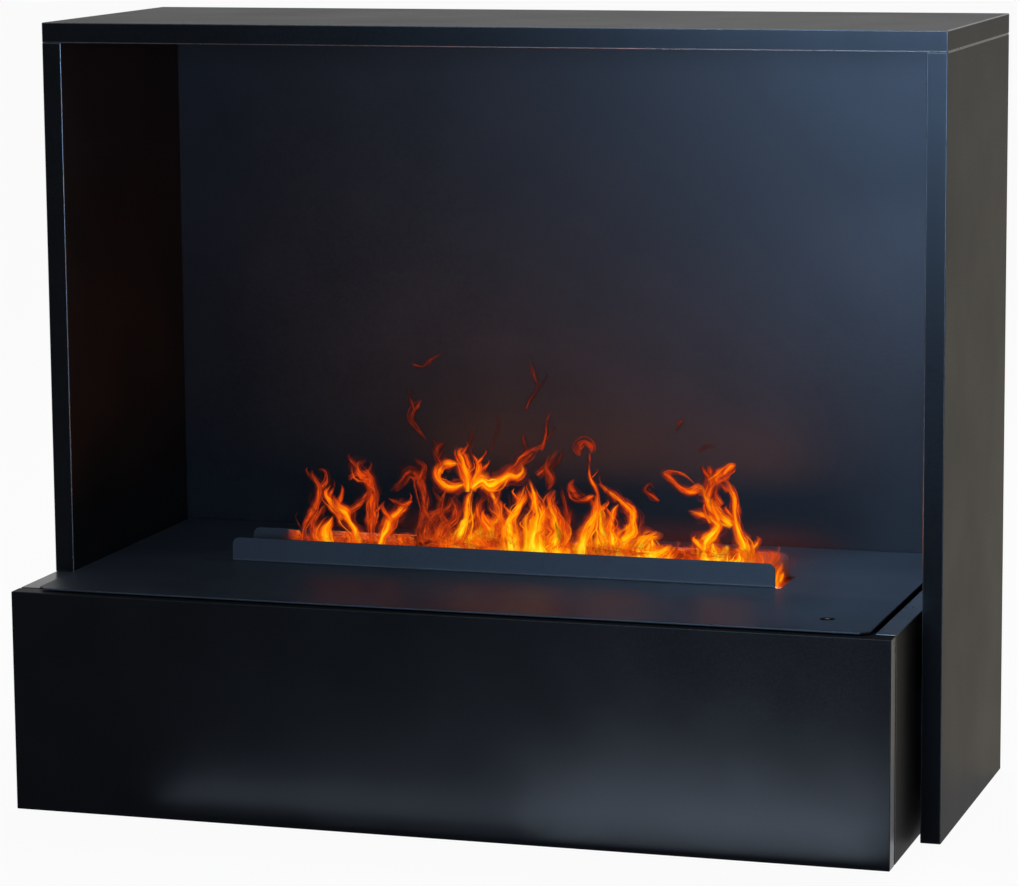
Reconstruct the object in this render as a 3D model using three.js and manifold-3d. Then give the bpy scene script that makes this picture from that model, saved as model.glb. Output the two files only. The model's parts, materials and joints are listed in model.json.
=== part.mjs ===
// A free-standing fireplace: a board portal on a box base, with an automatic ethanol burner under a
// slotted steel cover. Sizes are in millimetres and +Z is up. +X is the viewer's right, +Y the back.
// The origin is on the floor, at the middle of the outline seen from above.

import * as THREE from 'three';
import Module from 'manifold-3d';
import { mergeVertices } from 'three/addons/utils/BufferGeometryUtils.js';

const wasm = await Module();
wasm.setup();

// ---- Driving dimensions --------------------------------------------------------------------------

// Portal
const portalWidth = 1000;
const portalDepth = 346;
const overallHeight = 850;
const boardThickness = 22;
const backThickness = 8;
const rebateWidth = 10;
const dowelRadius = 4;
const dowelDepth = 14;
const dowelInset = 60;
const fitGap = 0.3;

// Base
const baseHeight = 242;
const baseProjection = 120;
const legGap = 7;
const frontPanelGap = 4;
const railHeight = 60;
const railDrop = 2;
const magnetHeight = 46;
const magnetWidth = 14;
const magnetDepth = 20;
const keeperThickness = 1.5;
const spacerSize = 50;
const boltRadius = 3;
const boltHeadRadius = 6.5;
const boltHeadHeight = 5;
const boltBite = 14;
const boltHeight = 130;
const boltInset = 70;

// Cover plate, with its slot and its two folded lips
const coverSheet = 2;
const coverRise = 3.5;
const coverGap = 4;
const coverSetback = 10;
const coverChamfer = 9;
const slotInset = 147;
const slotWidth = 64;
const slotRelief = 6;
const slotFromFront = 99;
const lipHeight = 26;
const lipCorner = 8;
const bendRadius = 2;
const feltWidth = 8;

// Burner housing and trough
const housingOverhang = 40.5;
const housingHeight = 210;
const housingWall = 1.5;
const housingClearance = 10;
const ventLength = 120;
const ventHeight = 18;
const ventSpacing = 235;
const ventDrop = 36;
const troughInset = 7;
const troughWidth = 60;
const troughDepth = 50;
const lidRoom = 15.5;
const ceramicHeight = 32;
const ceramicGap = 0.5;
const ceramicGroove = 10;
const ceramicGrooveEnd = 50;
const standLength = 30;
const standFoot = 14;
const standInset = 70;

// Sliding trough lid and its runners
const lidOverhang = 4.5;
const lidDepth = 66;
const lidThickness = 2;
const lidShelf = 6;
const lidPullHeight = 6;
const lidPullLength = 90;
const runnerSheet = 1.5;
const runnerFlange = 18;
const runnerGuide = 5;
const runnerLift = 1;
const runnerEnd = 2;
const lidPlay = 0.5;
const lidBehind = 1;

// Fuel tank
const tankLength = 400;
const tankDepth = 130;
const tankHeight = 125;
const tankWall = 1.5;
const tankInset = 14;
const neckRadius = 20;
const neckWall = 3;
const neckHeight = 56;
const neckFlange = 8;
const neckFlangeSheet = 2;
const neckStub = 4;
const capWall = 5;
const capHeight = 20;
const capRibs = 12;
const capRibDepth = 1.2;
const portInset = 50;
const nippleRadius = 3;
const nippleBore = 1.8;
const nippleLength = 10;
const stemRadius = 2.5;
const floatRadius = 11;
const floatHeight = 22;
const floatPlay = 1;
const stemLift = 5;
const stopRadius = 5;
const stopSheet = 2;
const sensorFlange = 18;
const sensorFlangeSheet = 3;
const sensorHead = 9;
const sensorHeadHeight = 18;

// Pump and hoses
const pumpSize = 46;
const pumpGap = 60;
const motorRadius = 19;
const motorLength = 60;
const motorBoss = 9.5;
const motorBossLength = 5;
const hoseWall = 1.8;
const igniterRadius = 4;
const igniterBody = 7;
const igniterLength = 20;
const igniterReach = 12;
const igniterOffset = 120;
const igniterDrop = 11;
const leadRadius = 2;
const leadHoleRadius = 6;
const leadHoleLevel = 186;

// Control box, fan and button
const controlWidth = 88;
const controlDepth = 160;
const controlHeight = 80;
const controlWall = 2.5;
const controlGap = 11.5;
const controlFront = 6;
const postHeight = 6;
const postRadius = 3;
const postInset = 10;
const circuitThickness = 1.6;
const circuitMargin = 1;
const fanSize = 60;
const fanDepth = 15;
const fanOpening = 28;
const fanHub = 13;
const fanTipGap = 1.5;
const fanBlades = 7;
const fanShift = 6;
const bladeThickness = 1.4;
const bladeChord = 12;
const bladePitch = 52;
const bladeRoot = 2;
const strutDepth = 3;
const strutWidth = 4;
const shaftRadius = 2;
const buttonInset = 56;
const buttonSetback = 70;
const buttonRadius = 7.6;
const buttonCapRadius = 5.9;
const buttonTravel = 2;
const buttonProud = 0.5;
const buttonHoleGap = 0.4;
const buttonCapHeight = 5;
const buttonCapEdge = 0.5;
const bezelSink = 0.2;
const plungerBore = 2.3;
const plungerDepth = 10;
const barrelThread = 6;
const barrelLength = 19;
const bezelHeight = 11.3;
const standSheet = 2;
const buttonStandWidth = 30;

// Mains inlet
const inletWidth = 60;
const inletHeight = 28;
const inletDepth = 20;
const inletFlange = 2.5;
const inletLevel = 80;
const inletPlateSheet = 2;
const openingMargin = 6;
const plateMargin = 12;
const inletBodyInset = 3;
const inletWall = 2;
const socketWidth = 26;
const socketHeight = 17;
const socketDepth = 16;
const rockerWidth = 15;
const rockerLength = 17;
const rockerAngle = 8;
const rockerRise = 7.2;
const rockerHeel = 3;
const rockerHeelHalf = 4;
const rockerPin = 1.2;
const rockerPinLength = 1.2;
const rockerSetback = 3;
const rockerWellDepth = 11;
const rockerEndPlay = 1;
const pinSetback = 6;
const pinWidth = 2;
const pinHeight = 4;
const pinSpread = 7;
const pinOffset = 3;

// ---- Sizes worked out from the driving dimensions --------------------------------------------------

const left = -portalWidth / 2;
const right = portalWidth / 2;
const innerLeft = left + boardThickness;
const innerRight = right - boardThickness;
const backInner = portalDepth - backThickness;
const topUnder = overallHeight - boardThickness;

const baseRight = innerRight - legGap;
const baseInnerLeft = left + boardThickness;
const baseInnerRight = baseRight - boardThickness;
const baseMiddle = (left + baseRight) / 2;
const baseFront = -baseProjection;
const panelBack = baseFront + boardThickness;
const boxFront = panelBack + frontPanelGap;
const baseBackInner = portalDepth - boardThickness;
const railBack = boxFront + boardThickness;
const railTop = baseHeight - railDrop;

const coverTop = baseHeight + coverRise;
const coverUnder = coverTop - coverSheet;
const coverLeft = baseInnerLeft + coverGap;
const coverRight = baseInnerRight - coverGap;
const coverFront = baseFront + coverSetback;
const coverBack = backInner - coverGap;
const slotLeft = coverLeft + slotInset;
const slotRight = coverRight - slotInset;
const slotBack = slotFromFront + slotWidth;
const burnerY = slotFromFront + slotWidth / 2;

const housingLeft = slotLeft - housingOverhang;
const housingRight = slotRight + housingOverhang;
const housingFront = railBack + housingClearance;
const housingBack = baseBackInner - housingClearance;
const housingFloor = boardThickness + housingWall;
const housingTop = boardThickness + housingHeight;

const troughLeft = slotLeft + troughInset;
const troughRight = slotRight - troughInset;
const troughFront = burnerY - troughWidth / 2;
const troughBack = burnerY + troughWidth / 2;
const troughTop = coverUnder - lidRoom;
const troughUnder = troughTop - troughDepth;

const shelfTop = troughTop + runnerLift + runnerSheet;
const lidUnder = shelfTop + fitGap;
const lidTop = lidUnder + lidThickness;
const lidLeft = troughLeft - lidOverhang - lidShelf;
const lidRight = troughRight + lidOverhang + lidShelf;
const lidFront = burnerY + lidDepth / 2 + lidBehind;

const tankLeft = housingLeft + housingWall + tankInset;
const tankRight = tankLeft + tankLength;
const tankFront = housingFront + housingWall + tankInset;
const tankMiddle = tankFront + tankDepth / 2;
const tankTop = housingFloor + tankHeight;
const neckX = tankRight - portInset;
const neckTop = tankTop + neckHeight;
const sensorX = tankLeft + portInset;

const pumpLeft = tankRight + pumpGap;
const pumpRight = pumpLeft + pumpSize;
const pumpMiddle = (pumpLeft + pumpRight) / 2;
const pumpAxis = housingFloor + pumpSize / 2;
const pumpTop = housingFloor + pumpSize;

const controlLeft = housingRight + controlGap;
const controlRight = controlLeft + controlWidth;
const controlY = railBack + controlFront;
const controlBack = controlY + controlDepth;
const controlTop = boardThickness + controlHeight;
const controlMiddle = (controlLeft + controlRight) / 2;
const controlLid = controlTop + controlWall;

const buttonX = coverRight - buttonInset;
const buttonY = baseFront + buttonSetback;
const bezelTop = coverTop - bezelSink;
const bezelUnder = bezelTop - bezelHeight;

const inletX = controlMiddle;
const plateBack = baseBackInner;

// How far a cutting tool runs past the faces that it cuts through
const past = 1;

// ---- Finishes --------------------------------------------------------------------------------------

const finish = (color, roughness, metalness) => new THREE.MeshStandardMaterial(
  { color, roughness, metalness });
const blackBoard = finish(0x15181c, 0.45, 0);
const blackSteel = finish(0x1a1d21, 0.5, 0.6);
const stainless = finish(0x9a9c9e, 0.3, 0.9);
const zincSteel = finish(0x8c8f93, 0.4, 0.8);
const beech = finish(0xb08a5a, 0.7, 0);
const felt = finish(0x202020, 0.95, 0);
const ceramicFibre = finish(0xdcd8cc, 0.9, 0);
const blackPlastic = finish(0x17181a, 0.55, 0);
const greenBoard = finish(0x1f5a37, 0.5, 0);
const rubberHose = finish(0x222222, 0.8, 0);
const redPlastic = finish(0x8a1f1a, 0.5, 0);

// ---- Making and joining shapes -----------------------------------------------------------------------

// A block between two places on each axis
function block([x0, x1], [y0, y1], [z0, z1]) {
  const shape = new THREE.BoxGeometry(x1 - x0, y1 - y0, z1 - z0);
  return shape.translate((x0 + x1) / 2, (y0 + y1) / 2, (z0 + z1) / 2);
}

// Round bars along each axis, from one place on it to another
function rodX([x0, x1], y, z, radius, sides = 20) {
  const bar = new THREE.CylinderGeometry(radius, radius, x1 - x0, sides).rotateZ(Math.PI / 2);
  return bar.translate((x0 + x1) / 2, y, z);
}

function rodY(x, [y0, y1], z, radius, sides = 20) {
  const bar = new THREE.CylinderGeometry(radius, radius, y1 - y0, sides);
  return bar.translate(x, (y0 + y1) / 2, z);
}

function rodZ(x, y, [z0, z1], radius, sides = 20) {
  const bar = new THREE.CylinderGeometry(radius, radius, z1 - z0, sides).rotateX(Math.PI / 2);
  return bar.translate(x, y, (z0 + z1) / 2);
}

// A turned piece about +Z: its profile is a list of [radius, height], from its foot to its top
function turned(profile, sides = 24) {
  const points = profile.map(([radius, height]) => new THREE.Vector2(radius, height));
  return new THREE.LatheGeometry(points, sides).rotateX(Math.PI / 2);
}

// An outline of [across, up] points
function outline(points) {
  return new THREE.Shape(points.map(([across, up]) => new THREE.Vector2(across, up)));
}

// A section of [y, z] points run along X
function alongX(section, [x0, x1]) {
  const run = new THREE.ExtrudeGeometry(outline(section), { depth: x1 - x0, bevelEnabled: false });
  return run.rotateZ(Math.PI / 2).rotateY(Math.PI / 2).translate(x0, 0, 0);
}

// A section of [x, z] points run along Y
function alongY(section, [y0, y1]) {
  const run = new THREE.ExtrudeGeometry(outline(section), { depth: y1 - y0, bevelEnabled: false });
  return run.rotateX(Math.PI / 2).translate(0, y1, 0);
}

// Points on an arc about a centre, between two angles in degrees
function arc([across, up], radius, from, to, steps) {
  return Array.from({ length: steps + 1 }, (_, step) => {
    const angle = THREE.MathUtils.degToRad(from + (to - from) * step / steps);
    return [across + radius * Math.cos(angle), up + radius * Math.sin(angle)];
  });
}

// A hose or lead of round section along a smooth curve through the given points
function tube(points, radius, steps, sides = 8) {
  const route = new THREE.CatmullRomCurve3(points.map((point) => new THREE.Vector3(...point)));
  const section = outline(arc([0, 0], radius, 0, 360 - 360 / sides, sides - 1));
  return new THREE.ExtrudeGeometry(section, { steps, extrudePath: route });
}

// Closed meshes become solids for cutting and joining, and come back as meshes
function solidOf(geometry) {
  const bare = geometry.clone();
  bare.deleteAttribute('normal');
  bare.deleteAttribute('uv');
  const merged = mergeVertices(bare, 1e-4);
  const corners = Array.from(merged.index.array);
  const faces = [];
  for (let i = 0; i < corners.length; i += 3) {
    const [a, b, c] = corners.slice(i, i + 3);
    if (a !== b && b !== c && c !== a) faces.push(a, b, c);
  }
  return new wasm.Manifold(new wasm.Mesh({
    numProp: 3,
    vertProperties: new Float32Array(merged.attributes.position.array),
    triVerts: new Uint32Array(faces),
  }));
}

function meshOf(solid) {
  const { vertProperties, triVerts } = solid.getMesh();
  const geometry = new THREE.BufferGeometry();
  geometry.setAttribute('position', new THREE.BufferAttribute(vertProperties, 3));
  geometry.setIndex(new THREE.BufferAttribute(triVerts, 1));
  geometry.computeVertexNormals();
  return geometry;
}

const cut = (body, ...tools) => meshOf(
  tools.reduce((solid, tool) => solid.subtract(solidOf(tool)), solidOf(body)));
const join = (...bodies) => meshOf(bodies.map(solidOf).reduce((whole, next) => whole.add(next)));
const common = (one, other) => meshOf(solidOf(one).intersect(solidOf(other)));

// Each piece is a named mesh that stands at its own middle
const fireplace = new THREE.Group();

function addPiece(name, geometry, material) {
  geometry.computeBoundingBox();
  const middle = geometry.boundingBox.getCenter(new THREE.Vector3());
  const piece = new THREE.Mesh(geometry.translate(-middle.x, -middle.y, -middle.z), material.clone());
  piece.name = name;
  piece.position.copy(middle);
  fireplace.add(piece);
}

// ---- Portal: top, sides and back ---------------------------------------------------------------------

const dowelPlaces = [dowelInset, portalDepth - dowelInset];
const leftDowelX = (left + innerLeft) / 2;
const rightDowelX = (innerRight + right) / 2;

// The blind hole for one end of a dowel, on either side of the joint at that height
const dowelHole = (x, y, joint) => rodZ(
  x, y, [joint - dowelDepth - fitGap, joint + dowelDepth + fitGap], dowelRadius + fitGap, 16);
const dowelHoles = (x, joint) => dowelPlaces.map((y) => dowelHole(x, y, joint));

const rebateBack = [backInner, portalDepth + past];
const backLeft = innerLeft - rebateWidth;
const backRight = innerRight + rebateWidth;

addPiece('top_panel', cut(
  block([left, right], [0, portalDepth], [topUnder, overallHeight]),
  block([backLeft, backRight], rebateBack, [topUnder - past, topUnder + rebateWidth]),
  ...dowelHoles(leftDowelX, topUnder),
  ...dowelHoles(rightDowelX, topUnder),
), blackBoard);

addPiece('left_side_panel', cut(
  block([left, innerLeft], [0, portalDepth], [baseHeight, topUnder]),
  block([backLeft, innerLeft + past], rebateBack, [baseHeight - past, topUnder + past]),
  ...dowelHoles(leftDowelX, topUnder),
  ...dowelHoles(leftDowelX, baseHeight),
), blackBoard);

const boltPlaces = [boltInset, portalDepth - boltInset];
const boltEnd = innerRight + boltBite;
const boltHole = (y) => rodX(
  [baseInnerRight - past, boltEnd + fitGap], y, boltHeight, boltRadius + fitGap, 16);

addPiece('right_side_panel', cut(
  block([innerRight, right], [0, portalDepth], [0, topUnder]),
  block([innerRight - past, backRight], rebateBack, [-past, topUnder + past]),
  ...dowelHoles(rightDowelX, topUnder),
  ...boltPlaces.map(boltHole),
), blackBoard);

addPiece('back_panel', block(
  [backLeft, backRight], [backInner, portalDepth], [baseHeight, topUnder + rebateWidth]), blackBoard);

const joints = [
  ['top_left', leftDowelX, topUnder],
  ['top_right', rightDowelX, topUnder],
  ['side_left', leftDowelX, baseHeight],
];
for (const [place, x, joint] of joints) {
  dowelPlaces.forEach((y, i) => addPiece(
    `dowel_${place}_${['front', 'rear'][i]}`,
    rodZ(x, y, [joint - dowelDepth, joint + dowelDepth], dowelRadius, 16), beech));
}

// ---- Base: a box of boards, its pull-off front and the bolts to the long side panel ----------------

const insideBase = [baseInnerLeft, baseInnerRight];

addPiece('base_left_board', cut(
  block([left, baseInnerLeft], [boxFront, portalDepth], [0, baseHeight]),
  ...dowelHoles(leftDowelX, baseHeight),
), blackBoard);

addPiece('base_right_board', cut(
  block([baseInnerRight, baseRight], [boxFront, portalDepth], [0, baseHeight]),
  ...boltPlaces.map(boltHole),
), blackBoard);

addPiece('base_floor_board', block(insideBase, [boxFront, baseBackInner], [0, boardThickness]), blackBoard);
addPiece('front_rail', block(insideBase, [boxFront, railBack], [railTop - railHeight, railTop]), blackBoard);

const opening = [
  [inletX - inletWidth / 2 - openingMargin, inletX + inletWidth / 2 + openingMargin],
  [inletLevel - inletHeight / 2 - openingMargin, inletLevel + inletHeight / 2 + openingMargin],
];
addPiece('base_back_board', cut(
  block(insideBase, [baseBackInner, portalDepth], [0, baseHeight]),
  block(opening[0], [baseBackInner - past, portalDepth + past], opening[1]),
), blackBoard);

addPiece('base_front_panel', block([left, baseRight], [baseFront, panelBack], [0, baseHeight]), blackBoard);

const keeperFace = panelBack + keeperThickness;
const magnetFront = keeperFace + fitGap;
const magnetTop = railTop - railHeight - magnetWidth;
const magnetSpan = [magnetTop - magnetHeight, magnetTop];
const keeperMargin = 2;
const keeperSpan = [magnetSpan[0] + keeperMargin, magnetSpan[1] - keeperMargin];
for (const [place, x] of [['left', baseInnerLeft], ['right', baseInnerRight - magnetWidth]]) {
  addPiece(`magnet_${place}`, block(
    [x, x + magnetWidth], [magnetFront, magnetFront + magnetDepth], magnetSpan), blackPlastic);
  addPiece(`keeper_${place}`, block(
    [x + keeperMargin, x + magnetWidth - keeperMargin], [panelBack, keeperFace], keeperSpan), zincSteel);
}

boltPlaces.forEach((y, i) => {
  const place = ['front', 'rear'][i];
  const half = spacerSize / 2;
  addPiece(`leg_spacer_${place}`, cut(
    block([baseRight, innerRight], [y - half, y + half], [boltHeight - half, boltHeight + half]),
    boltHole(y),
  ), blackPlastic);
  addPiece(`leg_bolt_${place}`, join(
    rodX([baseInnerRight - boltHeadHeight, baseInnerRight], y, boltHeight, boltHeadRadius, 16),
    rodX([baseInnerRight - past, boltEnd], y, boltHeight, boltRadius, 16),
  ), zincSteel);
});

// ---- Cover plate: sheet with a slot, two folded lips and the button's hole --------------------------

const bendOuter = bendRadius + coverSheet;

const plateOutline = outline([
  [coverLeft, coverBack],
  [coverLeft, coverFront + coverChamfer],
  [coverLeft + coverChamfer, coverFront],
  [coverRight - coverChamfer, coverFront],
  [coverRight, coverFront + coverChamfer],
  [coverRight, coverBack],
]);
plateOutline.holes.push(outline([
  [slotLeft - slotRelief, slotFromFront - bendOuter],
  [slotRight + slotRelief, slotFromFront - bendOuter],
  [slotRight + slotRelief, slotBack + bendOuter],
  [slotLeft - slotRelief, slotBack + bendOuter],
]));
plateOutline.holes.push(outline(arc([buttonX, buttonY], buttonRadius + buttonHoleGap, 0, 345, 23)));
const plate = new THREE.ExtrudeGeometry(plateOutline, { depth: coverSheet, bevelEnabled: false });
plate.translate(0, 0, coverUnder);

// A lip bends up from the slot's edge: side is 1 for the front lip and -1 for the rear one
function lip(slotEdge, side) {
  const centre = [0, bendRadius];
  const section = [
    [-past, -coverSheet],
    ...arc(centre, bendOuter, -90, 0, 4),
    [bendOuter, lipHeight],
    [bendRadius, lipHeight],
    ...arc(centre, bendRadius, 0, -90, 4),
    [-past, 0],
  ];
  const bentStrip = alongX(section.map(([across, up]) => [
    slotEdge + side * (across - bendOuter), coverTop + up]), [slotLeft, slotRight]);
  const roundedFace = alongY([
    [slotLeft, coverUnder - past],
    [slotRight, coverUnder - past],
    ...arc([slotRight - lipCorner, coverTop + lipHeight - lipCorner], lipCorner, 0, 90, 4),
    ...arc([slotLeft + lipCorner, coverTop + lipHeight - lipCorner], lipCorner, 90, 180, 4),
  ], [slotEdge - 2 * bendOuter, slotEdge + 2 * bendOuter]);
  return common(bentStrip, roundedFace);
}

addPiece('cover_plate', join(plate, lip(slotFromFront, 1), lip(slotBack, -1)), blackSteel);

const feltSpan = [coverLeft + coverChamfer, coverRight - coverChamfer];
addPiece('front_felt', block(
  feltSpan, [boxFront + feltWidth, boxFront + 2 * feltWidth], [railTop, coverUnder]), felt);
addPiece('rear_felt', block(feltSpan, [coverBack - feltWidth, coverBack], [baseHeight, coverUnder]), felt);

// ---- Burner housing, trough, ceramic insert and stands -----------------------------------------------

const housingInside = [
  [housingLeft + housingWall, housingRight - housingWall],
  [housingFront + housingWall, housingBack - housingWall],
];
const ventLevel = [housingTop - ventDrop - ventHeight, housingTop - ventDrop];
const ventMiddles = [-1, 0, 1].map((place) => baseMiddle + place * ventSpacing);
const rearVents = ventMiddles.map((x) => block(
  [x - ventLength / 2, x + ventLength / 2],
  [housingBack - housingWall - past, housingBack + past],
  ventLevel,
));
const igniterX = baseMiddle + igniterOffset;
const igniterZ = troughTop - igniterDrop;
const igniterEnd = troughFront - igniterLength;
const leadHole = (y, z) => rodX(
  [housingRight - housingWall - past, housingRight + past], y, z, leadHoleRadius, 16);

addPiece('burner_housing', cut(
  block([housingLeft, housingRight], [housingFront, housingBack], [boardThickness, housingTop]),
  block(housingInside[0], housingInside[1], [housingFloor, housingTop + past]),
  ...rearVents,
  leadHole(igniterEnd, leadHoleLevel),
  leadHole(tankMiddle, pumpAxis),
), blackSteel);

addPiece('burner_trough', cut(
  join(
    block([troughLeft, troughRight], [troughFront, troughBack], [troughUnder, troughTop]),
    rodZ(pumpMiddle, burnerY, [troughUnder - nippleLength, troughUnder + past], nippleRadius),
  ),
  block(
    [troughLeft + housingWall, troughRight - housingWall],
    [troughFront + housingWall, troughBack - housingWall],
    [troughUnder + housingWall, troughTop + past]),
  rodZ(pumpMiddle, burnerY, [troughUnder - nippleLength - past, troughTop], nippleBore),
  rodY(igniterX, [troughFront - past, troughFront + housingWall + past], igniterZ, igniterRadius + fitGap),
), stainless);

const ceramicInset = housingWall + ceramicGap;
const ceramicTop = troughUnder + housingWall + ceramicHeight;
addPiece('ceramic_insert', cut(
  block(
    [troughLeft + ceramicInset, troughRight - ceramicInset],
    [troughFront + ceramicInset, troughBack - ceramicInset],
    [troughUnder + housingWall, ceramicTop]),
  block(
    [troughLeft + ceramicGrooveEnd, troughRight - ceramicGrooveEnd],
    [burnerY - ceramicGroove / 2, burnerY + ceramicGroove / 2],
    [ceramicTop - ceramicGroove, ceramicTop + past]),
), ceramicFibre);

// Each stand is a folded bridge with two feet on the housing's floor
const standOutside = troughWidth / 2;
const standInside = standOutside - standSheet;
const standSection = [
  [-standOutside - standFoot, housingFloor],
  [-standInside, housingFloor],
  [-standInside, troughUnder - standSheet],
  [standInside, troughUnder - standSheet],
  [standInside, housingFloor],
  [standOutside + standFoot, housingFloor],
  [standOutside + standFoot, housingFloor + standSheet],
  [standOutside, housingFloor + standSheet],
  [standOutside, troughUnder],
  [-standOutside, troughUnder],
  [-standOutside, housingFloor + standSheet],
  [-standOutside - standFoot, housingFloor + standSheet],
].map(([across, up]) => [burnerY + across, up]);
const standPlaces = [
  ['left', troughLeft + standInset],
  ['right', troughRight - standInset - standLength],
];
for (const [place, x] of standPlaces) {
  addPiece(`trough_stand_${place}`, alongX(standSection, [x, x + standLength]), zincSteel);
}

// ---- Sliding trough lid, open behind the trough, on two runners ----------------------------------------

addPiece('trough_lid', join(
  block([lidLeft, lidRight], [lidFront, lidFront + lidDepth], [lidUnder, lidTop]),
  block(
    [baseMiddle - lidPullLength / 2, baseMiddle + lidPullLength / 2],
    [lidFront, lidFront + lidThickness],
    [lidUnder, lidTop + lidPullHeight]),
), stainless);

const runnerSpan = [burnerY - lidDepth / 2 - runnerEnd, lidFront + lidDepth + runnerEnd];
function runner(wall, lidEdge, side) {
  const from = (distance) => wall + side * distance;
  const shelfEnd = lidEdge + side * lidShelf;
  const guide = lidEdge - side * lidPlay;
  return alongY([
    [from(0), shelfTop - runnerFlange],
    [from(runnerSheet), shelfTop - runnerFlange],
    [from(runnerSheet), shelfTop - runnerSheet],
    [shelfEnd, shelfTop - runnerSheet],
    [shelfEnd, shelfTop],
    [guide, shelfTop],
    [guide, shelfTop + runnerGuide],
    [guide - side * runnerSheet, shelfTop + runnerGuide],
    [guide - side * runnerSheet, shelfTop],
    [from(0), shelfTop],
  ], runnerSpan);
}
addPiece('lid_runner_left', runner(housingInside[0][0], lidLeft, 1), zincSteel);
addPiece('lid_runner_right', runner(housingInside[0][1], lidRight, -1), zincSteel);

// ---- Fuel tank with its neck, cap, level sensor and float ----------------------------------------------

addPiece('fuel_tank', cut(
  join(
    block([tankLeft, tankRight], [tankFront, tankFront + tankDepth], [housingFloor, tankTop]),
    rodX([tankRight - past, tankRight + nippleLength], tankMiddle, pumpAxis, nippleRadius),
  ),
  block(
    [tankLeft + tankWall, tankRight - tankWall],
    [tankFront + tankWall, tankFront + tankDepth - tankWall],
    [housingFloor + tankWall, tankTop - tankWall]),
  rodZ(neckX, tankMiddle, [tankTop - tankWall - past, tankTop + past], neckRadius + fitGap),
  rodZ(sensorX, tankMiddle, [tankTop - tankWall - past, tankTop + past], floatRadius + floatPlay),
  rodX([tankRight - tankWall - past, tankRight + nippleLength + past], tankMiddle, pumpAxis, nippleBore),
), stainless);

const neckBore = neckRadius - neckWall;
addPiece('filler_neck', turned([
  [neckBore, tankTop - neckStub],
  [neckRadius, tankTop - neckStub],
  [neckRadius, tankTop],
  [neckRadius + neckFlange, tankTop],
  [neckRadius + neckFlange, tankTop + neckFlangeSheet],
  [neckRadius, tankTop + neckFlangeSheet],
  [neckRadius, neckTop],
  [neckBore, neckTop],
  [neckBore, tankTop - neckStub],
]).translate(neckX, tankMiddle, 0), stainless);

const capTop = neckTop + fitGap + capWall;
const capOuter = neckRadius + fitGap + capWall;
const ribSteps = 4;
const capGrip = Array.from({ length: capRibs * ribSteps }, (_, step) => {
  const turn = 2 * Math.PI * step / (capRibs * ribSteps);
  const radius = capOuter + capRibDepth * Math.cos(capRibs * turn);
  return [neckX + radius * Math.cos(turn), tankMiddle + radius * Math.sin(turn)];
});
const capBody = new THREE.ExtrudeGeometry(outline(capGrip), { depth: capHeight, bevelEnabled: false });
addPiece('filler_cap', cut(
  capBody.translate(0, 0, capTop - capHeight),
  rodZ(neckX, tankMiddle, [capTop - capHeight - past, neckTop + fitGap], neckRadius + fitGap, 24),
), blackPlastic);

const stemFoot = housingFloor + tankWall + stemLift;
const stopTop = stemFoot + stopSheet;
const flangeTop = tankTop + sensorFlangeSheet;
addPiece('level_sensor', turned([
  [0, stemFoot],
  [stopRadius, stemFoot],
  [stopRadius, stopTop],
  [stemRadius, stopTop],
  [stemRadius, tankTop],
  [sensorFlange, tankTop],
  [sensorFlange, flangeTop],
  [sensorHead, flangeTop],
  [sensorHead, tankTop + sensorHeadHeight],
  [0, tankTop + sensorHeadHeight],
]).translate(sensorX, tankMiddle, 0), blackPlastic);

const floatFoot = stopTop + fitGap;
const floatBore = stemRadius + fitGap;
addPiece('level_float', turned([
  [floatBore, floatFoot],
  [floatRadius, floatFoot],
  [floatRadius, floatFoot + floatHeight],
  [floatBore, floatFoot + floatHeight],
  [floatBore, floatFoot],
]).translate(sensorX, tankMiddle, 0), redPlastic);

// ---- Pump, hoses, igniter and its lead -------------------------------------------------------------------

addPiece('pump_head', join(
  block(
    [pumpLeft, pumpRight],
    [tankMiddle - pumpSize / 2, tankMiddle + pumpSize / 2],
    [housingFloor, pumpTop]),
  rodX([pumpLeft - nippleLength, pumpLeft + past], tankMiddle, pumpAxis, nippleRadius),
  rodZ(pumpMiddle, tankMiddle, [pumpTop - past, pumpTop + nippleLength], nippleRadius),
), blackPlastic);

const motorEnd = pumpRight + motorLength;
addPiece('pump_motor', join(
  rodX([pumpRight, motorEnd], tankMiddle, pumpAxis, motorRadius, 24),
  rodX([motorEnd - past, motorEnd + motorBossLength], tankMiddle, pumpAxis, motorBoss),
), zincSteel);

// The hoses are pushed over the nipples
const hoseBore = nippleRadius + 2 * fitGap;
const hose = (points, steps) => cut(
  tube(points, hoseBore + hoseWall, steps), tube(points, hoseBore, steps));

addPiece('suction_hose', hose([
  [tankRight + fitGap, tankMiddle, pumpAxis],
  [pumpLeft - fitGap, tankMiddle, pumpAxis],
], 4), rubberHose);

const hoseStart = pumpTop + fitGap;
const hoseEnd = troughUnder - fitGap;
const hoseStraight = nippleLength + 2;
addPiece('delivery_hose', hose([
  [pumpMiddle, tankMiddle, hoseStart],
  [pumpMiddle, tankMiddle, hoseStart + hoseStraight],
  [pumpMiddle, tankMiddle, hoseStart + 2 * hoseStraight],
  [pumpMiddle, (tankMiddle + burnerY) / 2, (hoseStart + hoseEnd) / 2],
  [pumpMiddle, burnerY, hoseEnd - 2 * hoseStraight],
  [pumpMiddle, burnerY, hoseEnd - hoseStraight],
  [pumpMiddle, burnerY, hoseEnd],
], 24), rubberHose);

addPiece('igniter', join(
  rodY(igniterX, [igniterEnd, troughFront], igniterZ, igniterBody, 6),
  rodY(igniterX, [troughFront - past, troughFront + igniterReach], igniterZ, igniterRadius, 16),
), zincSteel);

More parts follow.
